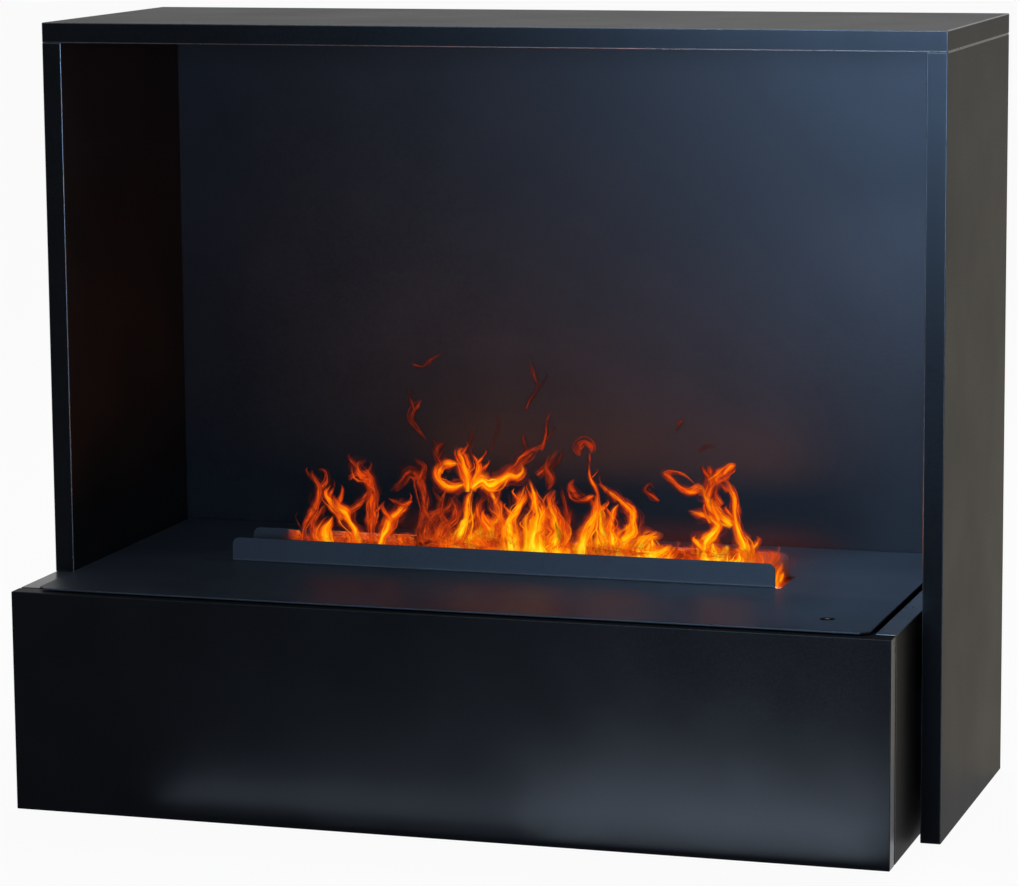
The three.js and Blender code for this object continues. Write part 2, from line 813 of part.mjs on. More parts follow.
const controlEntry = [controlMiddle - controlWidth / 4, igniterEnd - controlWidth / 4];
addPiece('igniter_lead', tube([
  [igniterX, igniterEnd - fitGap, igniterZ],
  [igniterX, igniterEnd - 8, igniterZ],
  [igniterX, igniterEnd - 16, igniterZ],
  [igniterX + 30, igniterEnd - 30, igniterZ - 6],
  [(igniterX + housingRight) / 2, igniterEnd - 20, leadHoleLevel + 10],
  [housingRight - 20, igniterEnd, leadHoleLevel],
  [housingRight, igniterEnd, leadHoleLevel],
  [controlEntry[0] - 4, igniterEnd - 8, leadHoleLevel - 12],
  [controlEntry[0], controlEntry[1], controlLid + 20],
  [controlEntry[0], controlEntry[1], controlLid + 10],
  [controlEntry[0], controlEntry[1], controlLid + fitGap],
], leadRadius, 36, 6), rubberHose);

addPiece('pump_lead', tube([
  [motorEnd + motorBossLength + fitGap, tankMiddle, pumpAxis],
  [motorEnd + motorBossLength + 5, tankMiddle, pumpAxis],
  [motorEnd + motorBossLength + 15, tankMiddle, pumpAxis],
  [(motorEnd + housingRight) / 2, tankMiddle, pumpAxis - 4],
  [housingRight - 10, tankMiddle, pumpAxis],
  [housingRight, tankMiddle, pumpAxis],
  [controlLeft - fitGap, tankMiddle, pumpAxis],
], leadRadius, 12, 6), rubberHose);

// ---- Control box with its circuit board and fan ------------------------------------------------------

const controlInside = [
  [controlLeft + controlWall, controlRight - controlWall],
  [controlY + controlWall, controlBack - controlWall],
];
const controlFloor = boardThickness + controlWall;
const fanLevel = boardThickness + controlHeight / 2;
const fanX = controlMiddle + fanShift;
const postPlaces = [
  [controlInside[0][0] + postInset, controlInside[1][0] + postInset],
  [controlInside[0][1] - postInset, controlInside[1][0] + postInset],
  [controlInside[0][0] + postInset, controlInside[1][1] - postInset],
  [controlInside[0][1] - postInset, controlInside[1][1] - postInset],
];
addPiece('control_box', join(
  cut(
    block([controlLeft, controlRight], [controlY, controlBack], [boardThickness, controlTop]),
    block(controlInside[0], controlInside[1], [controlFloor, controlTop + past]),
    rodY(fanX, [controlBack - controlWall - past, controlBack + past], fanLevel, fanOpening, 24),
  ),
  ...postPlaces.map(([x, y]) => rodZ(x, y, [controlFloor - past, controlFloor + postHeight], postRadius, 12)),
), blackPlastic);

addPiece('control_box_lid', block(
  [controlLeft, controlRight], [controlY, controlBack], [controlTop, controlLid]), blackPlastic);

const circuitUnder = controlFloor + postHeight;
const circuitTop = circuitUnder + circuitThickness;
const circuitX = [controlInside[0][0] + circuitMargin, controlInside[0][1] - circuitMargin];
const circuitY = [controlInside[1][0] + circuitMargin, controlInside[1][1] - circuitMargin];

// A component on the board: its place from the board's front left corner, and its size
const onBoard = (x, y, width, depth, height) => block(
  [circuitX[0] + x, circuitX[0] + x + width],
  [circuitY[0] + y, circuitY[0] + y + depth],
  [circuitTop - circuitThickness / 2, circuitTop + height]);
addPiece('circuit_board', join(
  block(circuitX, circuitY, [circuitUnder, circuitTop]),
  onBoard(8, 16, 34, 30, 28),
  onBoard(50, 18, 20, 26, 16),
  onBoard(12, 64, 28, 12, 20),
  onBoard(48, 62, 14, 14, 4),
  onBoard(20, 104, 40, 10, 12),
), greenBoard);

const fanMiddle = [fanX, fanLevel];
const frameHalf = fanSize / 2;
const frameOutline = outline([
  [fanX - frameHalf, fanLevel - frameHalf],
  [fanX + frameHalf, fanLevel - frameHalf],
  [fanX + frameHalf, fanLevel + frameHalf],
  [fanX - frameHalf, fanLevel + frameHalf],
]);
frameOutline.holes.push(outline(arc(fanMiddle, fanOpening, 0, 345, 23)));
const fanBack = controlBack + fanDepth;
const frameRing = new THREE.ExtrudeGeometry(frameOutline, { depth: fanDepth, bevelEnabled: false });
const strut = (halfX, halfZ) => block(
  [fanX - halfX, fanX + halfX], [fanBack - strutDepth, fanBack], [fanLevel - halfZ, fanLevel + halfZ]);
const strutReach = frameHalf - past;
addPiece('fan_frame', cut(
  join(
    frameRing.rotateX(Math.PI / 2).translate(0, fanBack, 0),
    strut(strutReach, strutWidth / 2),
    strut(strutWidth / 2, strutReach),
    rodY(fanX, [fanBack - strutDepth, fanBack], fanLevel, fanHub),
  ),
  rodY(fanX, [fanBack - strutDepth - past, fanBack + past], fanLevel, shaftRadius + fitGap, 12),
), blackPlastic);

const rotorBack = fanBack - strutDepth - fitGap;
const rotorFront = controlBack + fanTipGap;
const bladeReach = fanOpening - fanTipGap;
const bladeLength = bladeReach - fanHub + bladeRoot;
function blade(index) {
  const shape = new THREE.BoxGeometry(bladeLength, bladeThickness, bladeChord);
  shape.rotateX(THREE.MathUtils.degToRad(bladePitch));
  shape.translate(fanHub - bladeRoot + bladeLength / 2, 0, 0);
  shape.rotateY(2 * Math.PI * index / fanBlades);
  return shape.translate(fanX, (rotorFront + rotorBack) / 2, fanLevel);
}
addPiece('fan_rotor', join(
  rodY(fanX, [rotorFront, rotorBack], fanLevel, fanHub - past),
  rodY(fanX, [rotorBack - past, fanBack - fitGap], fanLevel, shaftRadius, 12),
  ...Array.from({ length: fanBlades }, (_, index) => blade(index)),
), blackPlastic);

// ---- Push button, flush with the cover, on its stand -------------------------------------------------

const standFace = buttonY + buttonStandWidth / 2;
addPiece('button_stand', cut(
  alongX([
    [standFace + buttonStandWidth / 2, controlLid],
    [standFace + buttonStandWidth / 2, controlLid + standSheet],
    [standFace + standSheet, controlLid + standSheet],
    [standFace + standSheet, bezelUnder],
    [buttonY - buttonStandWidth / 2, bezelUnder],
    [buttonY - buttonStandWidth / 2, bezelUnder - standSheet],
    [standFace, bezelUnder - standSheet],
    [standFace, controlLid],
  ], [buttonX - buttonStandWidth / 2, buttonX + buttonStandWidth / 2]),
  rodZ(buttonX, buttonY, [bezelUnder - standSheet - past, bezelUnder + past], barrelThread + fitGap, 16),
), zincSteel);

const buttonTop = coverTop + buttonProud;
const capUnder = buttonTop - buttonCapHeight;
const recessFloor = capUnder - buttonTravel - fitGap;
const boreFloor = recessFloor - plungerDepth;
const plungerFoot = boreFloor + buttonTravel + fitGap;
addPiece('button_barrel', turned([
  [0, bezelUnder - barrelLength],
  [barrelThread, bezelUnder - barrelLength],
  [barrelThread, bezelUnder],
  [buttonRadius, bezelUnder],
  [buttonRadius, bezelTop],
  [buttonCapRadius + fitGap, bezelTop],
  [buttonCapRadius + fitGap, recessFloor],
  [plungerBore, recessFloor],
  [plungerBore, boreFloor],
  [0, boreFloor],
]).translate(buttonX, buttonY, 0), stainless);

addPiece('button_cap', turned([
  [0, plungerFoot],
  [plungerBore - fitGap, plungerFoot],
  [plungerBore - fitGap, capUnder],
  [buttonCapRadius, capUnder],
  [buttonCapRadius, buttonTop - buttonCapEdge],
  [buttonCapRadius - buttonCapEdge, buttonTop],
  [0, buttonTop],
]).translate(buttonX, buttonY, 0), stainless);

addPiece('button_lead', tube([
  [buttonX, buttonY, bezelUnder - barrelLength - fitGap],
  [buttonX, buttonY, (bezelUnder - barrelLength + controlLid) / 2],
  [buttonX, buttonY, controlLid + fitGap],
], leadRadius, 2, 6), rubberHose);

// ---- Mains inlet and power rocker, reached through the opening in the base's back --------------------

const halfInlet = [inletWidth / 2, inletHeight / 2];
const moduleBody = [
  [inletX - halfInlet[0] + inletBodyInset, inletX + halfInlet[0] - inletBodyInset],
  [inletLevel - halfInlet[1] + inletBodyInset, inletLevel + halfInlet[1] - inletBodyInset],
];
addPiece('inlet_plate', cut(
  block(
    [opening[0][0] - plateMargin, opening[0][1] + plateMargin],
    [plateBack - inletPlateSheet, plateBack],
    [opening[1][0] - plateMargin, opening[1][1] + plateMargin]),
  block(
    [moduleBody[0][0] - fitGap, moduleBody[0][1] + fitGap],
    [plateBack - inletPlateSheet - past, plateBack + past],
    [moduleBody[1][0] - fitGap, moduleBody[1][1] + fitGap]),
), zincSteel);

const inletFace = plateBack + inletFlange;
const socketLeft = moduleBody[0][0] + inletWall;
const socketX = socketLeft + socketWidth / 2;
const rockerX = moduleBody[0][1] - inletWall - rockerWidth / 2;
const rockerAxis = plateBack - rockerSetback;
const rockerWell = plateBack - rockerWellDepth;
const pivotReach = rockerWidth / 2 + rockerPinLength + fitGap;
const wellHalf = rockerLength / 2 + rockerEndPlay;
const pin = (x, z) => block(
  [x - pinWidth / 2, x + pinWidth / 2],
  [inletFace - socketDepth - past, inletFace - pinSetback],
  [z - pinHeight / 2, z + pinHeight / 2]);
addPiece('mains_inlet', join(
  cut(
    join(
      block(
        [inletX - halfInlet[0], inletX + halfInlet[0]],
        [plateBack, inletFace],
        [inletLevel - halfInlet[1], inletLevel + halfInlet[1]]),
      block(moduleBody[0], [inletFace - inletDepth - inletFlange, inletFace - 1], moduleBody[1]),
    ),
    block(
      [socketLeft, socketLeft + socketWidth],
      [inletFace - socketDepth, inletFace + past],
      [inletLevel - socketHeight / 2, inletLevel + socketHeight / 2]),
    block(
      [rockerX - rockerWidth / 2 - fitGap, rockerX + rockerWidth / 2 + fitGap],
      [rockerWell, inletFace + past],
      [inletLevel - wellHalf, inletLevel + wellHalf]),
    rodX([rockerX - pivotReach, rockerX + pivotReach], rockerAxis, inletLevel, rockerPin + fitGap, 12),
  ),
  pin(socketX - pinSpread, inletLevel - pinOffset),
  pin(socketX + pinSpread, inletLevel - pinOffset),
  pin(socketX, inletLevel + pinOffset),
), blackPlastic);

// The rocker's face is two flats that meet over its pivot, and its upper end is pressed in
const tilt = THREE.MathUtils.degToRad(rockerAngle);
const rockerHalf = rockerLength / 2;
const rockerShoulder = rockerRise - rockerHalf * Math.tan(tilt);
const rockerSection = [
  [0, -rockerHalf],
  [rockerShoulder, -rockerHalf],
  [rockerRise, 0],
  [rockerShoulder, rockerHalf],
  [0, rockerHalf],
  [-rockerHeel, rockerHeelHalf],
  [-rockerHeel, -rockerHeelHalf],
];
const rocker = join(
  alongX(rockerSection, [-rockerWidth / 2, rockerWidth / 2]),
  rodX([fitGap - pivotReach, pivotReach - fitGap], 0, 0, rockerPin, 12),
);
addPiece('power_rocker', rocker.rotateX(tilt).translate(rockerX, rockerAxis, inletLevel), redPlastic);

addPiece('mains_lead', tube([
  [socketX, inletFace - inletDepth - inletFlange - fitGap, inletLevel],
  [socketX, inletFace - inletDepth - inletFlange - 10, inletLevel],
  [socketX, inletFace - inletDepth - inletFlange - 20, inletLevel],
  [controlLeft + 14, (plateBack + controlBack) / 2 + 20, boardThickness + 30],
  [controlLeft + 6, controlBack + 40, boardThickness + 10],
  [controlLeft + 6, controlBack + 20, boardThickness + 10],
  [controlLeft + 6, controlBack + 10, boardThickness + 10],
  [controlLeft + 6, controlBack + fitGap, boardThickness + 10],
], leadRadius + 1, 30, 6), rubberHose);

// The origin goes to the middle of the outline: the base stands out in front of the portal
fireplace.position.y = -(portalDepth - baseProjection) / 2;

export default fireplace;
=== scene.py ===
# %% [markdown]
# # A black fireplace with an ethanol burner, dressed for its photograph
#
# The object is a shallow black portal that stands on a wide, low base. A steel cover plate closes the
# base, and a real flame comes up through a long slot between two folded lips. Inside the base sit the
# burner, its tank and pump, and a small control box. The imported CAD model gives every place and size.
# This lesson lays finishes and fine shapes over it, piece by piece, and never moves what the CAD holds.

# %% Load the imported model
import json
import math
import random

import bmesh
import bpy
from mathutils import Matrix, Vector, noise

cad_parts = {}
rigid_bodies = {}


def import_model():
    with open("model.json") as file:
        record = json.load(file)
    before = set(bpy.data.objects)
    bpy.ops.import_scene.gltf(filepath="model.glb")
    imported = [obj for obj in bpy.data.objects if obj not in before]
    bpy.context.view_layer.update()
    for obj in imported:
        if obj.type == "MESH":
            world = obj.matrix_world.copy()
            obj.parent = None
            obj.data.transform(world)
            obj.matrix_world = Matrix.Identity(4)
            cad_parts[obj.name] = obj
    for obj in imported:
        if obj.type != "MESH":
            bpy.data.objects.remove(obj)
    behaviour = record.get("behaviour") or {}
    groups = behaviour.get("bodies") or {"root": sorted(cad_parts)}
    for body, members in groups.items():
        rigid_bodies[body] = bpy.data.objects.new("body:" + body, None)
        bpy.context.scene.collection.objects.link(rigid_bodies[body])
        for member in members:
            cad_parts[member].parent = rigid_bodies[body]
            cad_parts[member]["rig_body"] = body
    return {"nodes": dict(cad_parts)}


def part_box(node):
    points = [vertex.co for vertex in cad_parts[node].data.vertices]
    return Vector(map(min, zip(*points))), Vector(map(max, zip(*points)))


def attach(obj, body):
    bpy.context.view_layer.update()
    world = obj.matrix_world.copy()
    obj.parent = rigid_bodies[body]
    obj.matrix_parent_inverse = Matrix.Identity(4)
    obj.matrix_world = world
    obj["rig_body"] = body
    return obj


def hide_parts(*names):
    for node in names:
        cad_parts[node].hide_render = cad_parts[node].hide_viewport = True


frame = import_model()
nodes = frame["nodes"]
bpy.context.view_layer.update()

# %% [markdown]
# The CAD source measures in millimetres from the front face of the portal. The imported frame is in
# metres, and its origin is 113 mm behind that face. One small helper turns the first into the second,
# so each step below can use the maker's own numbers.

# %% From the maker's millimetres to the frame
MM = 0.001
PORTAL_TO_FRAME = -113


def place(x, y, z):
    return Vector((x, y + PORTAL_TO_FRAME, z)) * MM


print("front edge of the portal is at y =", place(0, 0, 0).y)

# %% [markdown]
# ## Camera
#
# The photographer stood to the right and a little above the top, with a long lens from about four
# metres. The place and the turn were found by fitting the corners of the boards to the corners in the
# picture. This camera tips down by nine degrees and has no lens shift, so its verticals draw together
# a little, where those in the picture are almost parallel.

# %% Camera
CAMERA_PLACE = (1.2816, -4.1048, 1.0759)
CAMERA_TURN = 0.3038
CAMERA_TIP = 0.1584
CAMERA_ROLL = -0.0081
CAMERA_LENS = 140.31
PICTURE_WIDTH = 1019
PICTURE_HEIGHT = 886

camera = bpy.data.objects.new("camera", bpy.data.cameras.new("camera"))
bpy.context.scene.collection.objects.link(camera)
camera.data.sensor_width = 36
camera.data.lens = CAMERA_LENS
camera.matrix_world = (
    Matrix.Translation(CAMERA_PLACE)
    @ Matrix.Rotation(CAMERA_TURN, 4, "Z")
    @ Matrix.Rotation(math.pi / 2 - CAMERA_TIP, 4, "X")
    @ Matrix.Rotation(CAMERA_ROLL, 4, "Z")
)
bpy.context.scene.camera = camera
bpy.context.scene.view_settings.view_transform = "Standard"
print("camera at", CAMERA_PLACE, "with a lens of", CAMERA_LENS, "mm")

# %% [markdown]
# ## Studio
#
# The photograph is cut out on white. Here the world is plain white wherever the camera or a reflection
# looks, and a calmer grey where it only lights the object. The floor is a pale sheet that is mixed
# with the same white, so it nearly vanishes but still keeps the soft shadow under the base.


# %% Node helpers, and the test for rays that should meet white
def add_node(tree, kind, **values):
    node = tree.nodes.new(kind)
    for socket, value in values.items():
        node.inputs[socket.replace("_", " ")].default_value = value
    return node


def combine(tree, kind, first, second):
    """A math node of two values, each a number or another node's socket. A minimum is also clamped."""
    made = tree.nodes.new("ShaderNodeMath")
    made.operation = kind
    made.use_clamp = kind == "MINIMUM"
    for socket, value in zip(made.inputs, (first, second)):
        if isinstance(value, float):
            socket.default_value = value
        else:
            tree.links.new(value, socket)
    return made.outputs[0]


def blend_into(output, tree, factor, first, second):
    blend = tree.nodes.new("ShaderNodeMixShader")
    tree.links.new(factor, blend.inputs["Fac"])
    tree.links.new(first.outputs[0], blend.inputs[1])
    tree.links.new(second.outputs[0], blend.inputs[2])
    tree.links.new(blend.outputs[0], output.inputs["Surface"])


def white_rays(tree):
    ray = tree.nodes.new("ShaderNodeLightPath").outputs
    seen = combine(tree, "MAXIMUM", ray["Is Camera Ray"], ray["Is Glossy Ray"])
    return combine(tree, "MAXIMUM", seen, ray["Is Transmission Ray"])


# %% World
WORLD_LIGHT = 0.25

world = bpy.data.worlds.new("studio")
bpy.context.scene.world = world
world.use_nodes = True
sky = world.node_tree
sky.nodes.clear()
lit = add_node(sky, "ShaderNodeBackground", Color=(0.92, 0.95, 1.0, 1), Strength=WORLD_LIGHT)
white = add_node(sky, "ShaderNodeBackground", Color=(1, 1, 1, 1), Strength=1.0)
blend_into(sky.nodes.new("ShaderNodeOutputWorld"), sky, white_rays(sky), lit, white)
print("world lights at", WORLD_LIGHT, "and shows white")

# %% Floor
FLOOR_HALF = 80.0
FLOOR_DROP = 0.0004
FLOOR_WHITE = 0.94
FLOOR_COLOUR = (0.84, 0.84, 0.83, 1)
FLOOR_ROUGH = 0.9

floor_shape = bmesh.new()
bmesh.ops.create_grid(floor_shape, x_segments=8, y_segments=8, size=FLOOR_HALF)
floor_mesh = bpy.data.meshes.new("floor")
floor_shape.to_mesh(floor_mesh)
floor_shape.free()
floor = bpy.data.objects.new("floor", floor_mesh)
floor.location.z = -FLOOR_DROP
bpy.context.scene.collection.objects.link(floor)
paper = bpy.data.materials.new("pale_floor")
paper.use_nodes = True
paper_tree = paper.node_tree
matt = paper_tree.nodes["Principled BSDF"]
matt.inputs["Base Color"].default_value = FLOOR_COLOUR
matt.inputs["Roughness"].default_value = FLOOR_ROUGH
glow = add_node(paper_tree, "ShaderNodeEmission", Color=(1, 1, 1, 1), Strength=1.0)
share = combine(paper_tree, "MULTIPLY", white_rays(paper_tree), FLOOR_WHITE)
blend_into(paper_tree.nodes["Material Output"], paper_tree, share, matt, glow)
floor_mesh.materials.append(paper)
print("floor of", 2 * FLOOR_HALF, "m")

# %% [markdown]
# Satin black shows little colour of its own: what the eye reads is the sheen of bright things that
# stand in front of it. So most of these soft boxes work in reflections alone. A wide one in front
# gives the boards the slate-blue sheen that fades to black at the left, one above gives it to the
# edges, and one behind warms the right side. Three that lie one over another at the foot brighten the
# base's front in steps towards the right. A wide one overhead works in every way. Two are plain light
# with no reflection: a weak one in front for the lips, and a small one over the plate's right half.


# %% Lamps
def soft_box(name, at, towards, size, power, colour, works="all"):
    """It works in "all", or only as "sheen" in reflections, or only as plain "light"."""
    lamp = bpy.data.lights.new(name, "AREA")
    lamp.shape = "RECTANGLE"
    lamp.size, lamp.size_y = size
    lamp.energy = power
    lamp.color = colour
    holder = bpy.data.objects.new(name, lamp)
    bpy.context.scene.collection.objects.link(holder)
    holder.location = at
    holder.rotation_mode = "QUATERNION"
    holder.rotation_quaternion = (Vector(towards) - Vector(at)).to_track_quat("-Z", "Y")
    holder.visible_camera = False
    holder.visible_diffuse = works != "sheen"
    holder.visible_glossy = works != "light"
    return holder


COOL = (0.62, 0.80, 1.0)
SLATE = (0.36, 0.60, 1.0)
PALE = (0.66, 0.80, 1.0)
WARM = (1.0, 0.70, 0.15)

soft_box("top_light", (0.3, 1.4, 2.9), (0, 0, 0.4), (2.6, 2.6), 42, (1.0, 0.98, 0.95))
soft_box("front_light", (0.5, -2.5, 0.60), (0.3, 0, 0.25), (1.0, 0.6), 12, COOL, "light")
soft_box("plate_light", (0.42, 0.04, 0.66), (0.42, 0.04, 0.2), (0.16, 0.16), 5.4, COOL, "light")
soft_box("sheen_high", (0.15, -2.7, 0.86), (0.35, 0, 0.75), (1.1, 0.72), 440, SLATE, "sheen")
soft_box("sheen_side", (0.85, 1.3, 0.385), (0.85, 0.97, 1.325), (0.9, 2.33), 2.0, WARM, "sheen")
soft_box("sheen_top", (0.2, -0.55, 2.2), (0.2, -0.55, 0), (1.6, 0.5), 48, PALE, "sheen")

FOOT_RIGHT = 0.44
FOOT_Y = -0.345
FOOT_LIFT = 0.004
FOOT_DEPTH = 0.10
FOOT_STEPS = ((-0.36, 7), (-0.17, 20), (0.07, 40))
for step, (foot_left, foot_power) in enumerate(FOOT_STEPS):
    foot_middle = (foot_left + FOOT_RIGHT) / 2
    soft_box(
        f"sheen_foot_{step}", (foot_middle, FOOT_Y, FOOT_LIFT), (foot_middle, FOOT_Y, 1.0),
        (FOOT_RIGHT - foot_left, FOOT_DEPTH), foot_power, PALE, "sheen")
print("3 lamps for light and 6 for sheen")

# %% [markdown]
# ## Finishes
#
# Every finish is built from nodes in the same order: two tones mixed by a fine noise and a broad one,
# a roughness that wanders a little, and a bump for the surface you would feel with a fingernail. The
# helper makes that common part, and each finish then gets what is its own.


# %% The common part of a finish
BROAD_SHARE = 0.4
TONE_ENDS = (0.36, 0.64)
ROUGH_ENDS = (0.3, 0.7)


def finish(name, slot, tones, grain, rough, relief, stretch=(1, 1, 1), metal=0.0, gloss=0.5, cloud=9.0):
    """Tones are the dark and the pale colour, rough the lowest and highest roughness, grain the
    fine noise's scale per metre and relief the height of the bump in metres."""
    material = bpy.data.materials.new(name)
    material.use_nodes = True
    material["slot"] = slot
    tree = material.node_tree
    join = tree.links.new
    shader = tree.nodes["Principled BSDF"]
    shader.inputs["Metallic"].default_value = metal
    shader.inputs["Specular IOR Level"].default_value = gloss
    where = tree.nodes.new("ShaderNodeTexCoord").outputs["Object"]
    scale = add_node(tree, "ShaderNodeMapping", Scale=stretch)
    join(where, scale.inputs["Vector"])
    fine = add_node(tree, "ShaderNodeTexNoise", Scale=grain, Detail=5.0, Roughness=0.6)
    join(scale.outputs[0], fine.inputs["Vector"])
    broad = add_node(tree, "ShaderNodeTexNoise", Scale=cloud, Detail=3.0)
    join(where, broad.inputs["Vector"])
    both = tree.nodes.new("ShaderNodeMix")
    both.inputs["Factor"].default_value = BROAD_SHARE
    join(fine.outputs["Fac"], both.inputs[2])
    join(broad.outputs["Fac"], both.inputs[3])
    ramp = tree.nodes.new("ShaderNodeValToRGB")
    for stop, end, tone in zip(ramp.color_ramp.elements, TONE_ENDS, tones):
        stop.position = end
        stop.color = (*tone, 1)
    join(both.outputs[0], ramp.inputs["Fac"])
    join(ramp.outputs["Color"], shader.inputs["Base Color"])
    wander = add_node(
        tree, "ShaderNodeMapRange", From_Min=ROUGH_ENDS[0], From_Max=ROUGH_ENDS[1],
        To_Min=rough[0], To_Max=rough[1])
    join(both.outputs[0], wander.inputs["Value"])
    join(wander.outputs[0], shader.inputs["Roughness"])
    bump = add_node(tree, "ShaderNodeBump", Strength=1.0, Distance=relief)
    join(fine.outputs["Fac"], bump.inputs["Height"])
    join(bump.outputs[0], shader.inputs["Normal"])
    return material


# %% [markdown]
# The boards are sprayed with a satin black lacquer. Close up it has the faint pebbling of sprayed paint
# and a hint of navy. Its edges get a greyer copy of it, a painted highlight, and the tops of the base's
# side boards and the ends of the base front get it too. Its gloss at a steep view is weak, so the fronts
# stay nearly black. The photograph shows four sorts of it: the fronts, a back that shines a little more,
# a base front that shines a trace less, and tops and sides that are plain matt and turn grey along a flat
# view.

# %% Board lacquer, and its edges with a painted highlight
lacquer = finish(
    "board_lacquer", "black_board", ((0.0026, 0.0028, 0.0034), (0.0050, 0.0054, 0.0064)),
    grain=420, rough=(0.26, 0.34), relief=0.00006, gloss=0.019)
back_lacquer = finish(
    "back_lacquer", "black_board", ((0.0026, 0.0028, 0.0036), (0.0050, 0.0054, 0.0068)),
    grain=420, rough=(0.31, 0.39), relief=0.00006, gloss=0.037)
front_lacquer = finish(
    "base_front_lacquer", "black_board", ((0.0026, 0.0028, 0.0034), (0.0050, 0.0054, 0.0064)),
    grain=420, rough=(0.26, 0.34), relief=0.00006, gloss=0.018)
lacquer_matt = finish(
    "board_lacquer_matt", "black_board", ((0.0018, 0.0018, 0.0018), (0.0036, 0.0036, 0.0034)),
    grain=420, rough=(0.41, 0.51), relief=0.00006, gloss=0.030)
# A greyer copy of the lacquer: a painted highlight for edges, the base side boards' tops and the base
# front's ends.
lacquer_painted_highlight = finish(
    "board_edge_painted_highlight", "black_board", ((0.010, 0.012, 0.016), (0.028, 0.031, 0.037)),
    grain=260, rough=(0.24, 0.36), relief=0.00005, gloss=0.20, stretch=(1, 1, 0.3))
print("lacquer and edge")

# %% [markdown]
# The cover plate and the burner's housing are sheet steel with a fine-textured powder coat: a dry, sandy
# black whose tiny bumps scatter the light. Its noise is finer and its bump deeper than the lacquer's.

# %% Powder-coated steel
powder_coat = finish(
    "powder_coat", "black_steel", ((0.0080, 0.0105, 0.0145), (0.0175, 0.0225, 0.0300)),
    grain=900, rough=(0.38, 0.50), relief=0.00012, gloss=0.08)
housing_coat = finish(
    "housing_coat", "black_steel", ((0.020, 0.021, 0.023), (0.040, 0.042, 0.046)),
    grain=900, rough=(0.5, 0.65), relief=0.00012, gloss=0.3)
print("powder coats")

# %% [markdown]
# The trough and the tank are brushed stainless steel. The brush runs along the piece, so the noise is
# stretched a hundred to one in that direction, and the same scratches vary the roughness. The button is
# turned steel: its ring and cap are made near black without gloss, a painted shade of a recess, and its
# cap has a painted warm highlight in the middle.

# %% Brushed stainless steel
brushed = finish(
    "brushed_stainless", "stainless", ((0.42, 0.42, 0.41), (0.66, 0.66, 0.65)),
    grain=900, rough=(0.24, 0.40), relief=0.00002, stretch=(0.01, 1, 1), metal=1.0)
turned_steel = finish(
    "turned_stainless", "stainless", ((0.45, 0.45, 0.44), (0.68, 0.68, 0.67)),
    grain=1400, rough=(0.18, 0.34), relief=0.00001, stretch=(0.2, 0.2, 1), metal=1.0)
zinc = finish(
    "zinc_plate", "zinc_steel", ((0.38, 0.40, 0.42), (0.60, 0.62, 0.64)),
    grain=160, rough=(0.28, 0.48), relief=0.00002, metal=1.0, cloud=40)
# The button's steel: near black with no gloss as a painted shade of a recess, and for the cap's middle a
# painted warm highlight.
recess_shade_steel = finish(
    "stainless_painted_recess_shade", "stainless", ((0.0030, 0.0028, 0.0030), (0.0060, 0.0055, 0.0058)),
    grain=1400, rough=(0.40, 0.50), relief=0.00001, stretch=(0.2, 0.2, 1), gloss=0.0)
cap_highlight_steel = finish(
    "stainless_painted_warm_highlight", "stainless", ((0.040, 0.030, 0.026), (0.066, 0.050, 0.043)),
    grain=1400, rough=(0.30, 0.45), relief=0.00001, stretch=(0.2, 0.2, 1), gloss=0.0)
print("bright and dark metals")

# %% [markdown]
# The dowels are raw beech: fine straight grain along the pin with small dark flecks. The cover rests
# on two black felt strips, and the burner's wick is a block of pale ceramic fibre.

# %% Beech, felt and ceramic fibre
beech = finish(
    "raw_beech", "beech", ((0.44, 0.27, 0.14), (0.68, 0.48, 0.29)),
    grain=700, rough=(0.6, 0.8), relief=0.00008, stretch=(1, 1, 0.06))
felt = finish(
    "black_felt", "felt", ((0.012, 0.012, 0.013), (0.050, 0.050, 0.053)),
    grain=1500, rough=(0.9, 1.0), relief=0.0004, gloss=0.1)
felt.node_tree.nodes["Principled BSDF"].inputs["Sheen Weight"].default_value = 0.4
fibre = finish(
    "ceramic_fibre", "ceramic_fibre", ((0.62, 0.59, 0.52), (0.86, 0.84, 0.78)),
    grain=500, rough=(0.9, 1.0), relief=0.0006, stretch=(0.35, 1, 1), gloss=0.1)
print("beech, felt, fibre")

# %% [markdown]
# The small parts are moulded. Black and red plastic have a spark-eroded mould texture, the circuit
# board is green solder mask over copper, and hoses and lead sheaths are matt rubber.

# %% Plastics, circuit board, rubber and copper
black_plastic = finish(
    "moulded_black", "black_plastic", ((0.014, 0.014, 0.015), (0.030, 0.030, 0.032)),
    grain=1100, rough=(0.42, 0.60), relief=0.00008, gloss=0.35)
red_plastic = finish(
    "moulded_red", "red_plastic", ((0.36, 0.020, 0.014), (0.52, 0.050, 0.035)),
    grain=1100, rough=(0.30, 0.45), relief=0.00005, gloss=0.45)
solder_mask = finish(
    "solder_mask", "green_board", ((0.010, 0.090, 0.035), (0.030, 0.170, 0.070)),
    grain=300, rough=(0.25, 0.45), relief=0.00004, gloss=0.5, cloud=60)
rubber = finish(
    "matt_rubber", "rubber", ((0.016, 0.016, 0.016), (0.034, 0.034, 0.034)),
    grain=1300, rough=(0.62, 0.82), relief=0.00006, gloss=0.3)
copper = finish(
    "copper_wire", "green_board", ((0.50, 0.20, 0.08), (0.72, 0.36, 0.18)),
    grain=1600, rough=(0.25, 0.40), relief=0.00004, stretch=(1, 1, 0.05), metal=1.0)
print(len(bpy.data.materials), "materials so far")

# %% [markdown]
# ## Boards
#
# A sawn and lacquered board never has a razor edge: it is eased by about a millimetre, and that soft edge
# is what catches the light in the photograph. The CAD board is plain, so a copy of its mesh is made whole
# again from triangles, its long edges are bevelled, and the new strip gets the greyer edge finish, a
# painted highlight. Its top and its ends get the matt finish. The copy then stands for the CAD node.

# %% Copy a node's mesh, ease its edges and make the finished piece
MERGE = 0.000002
FLAT = math.radians(1)
CORNER = math.radians(30)
SMOOTH = math.radians(50)


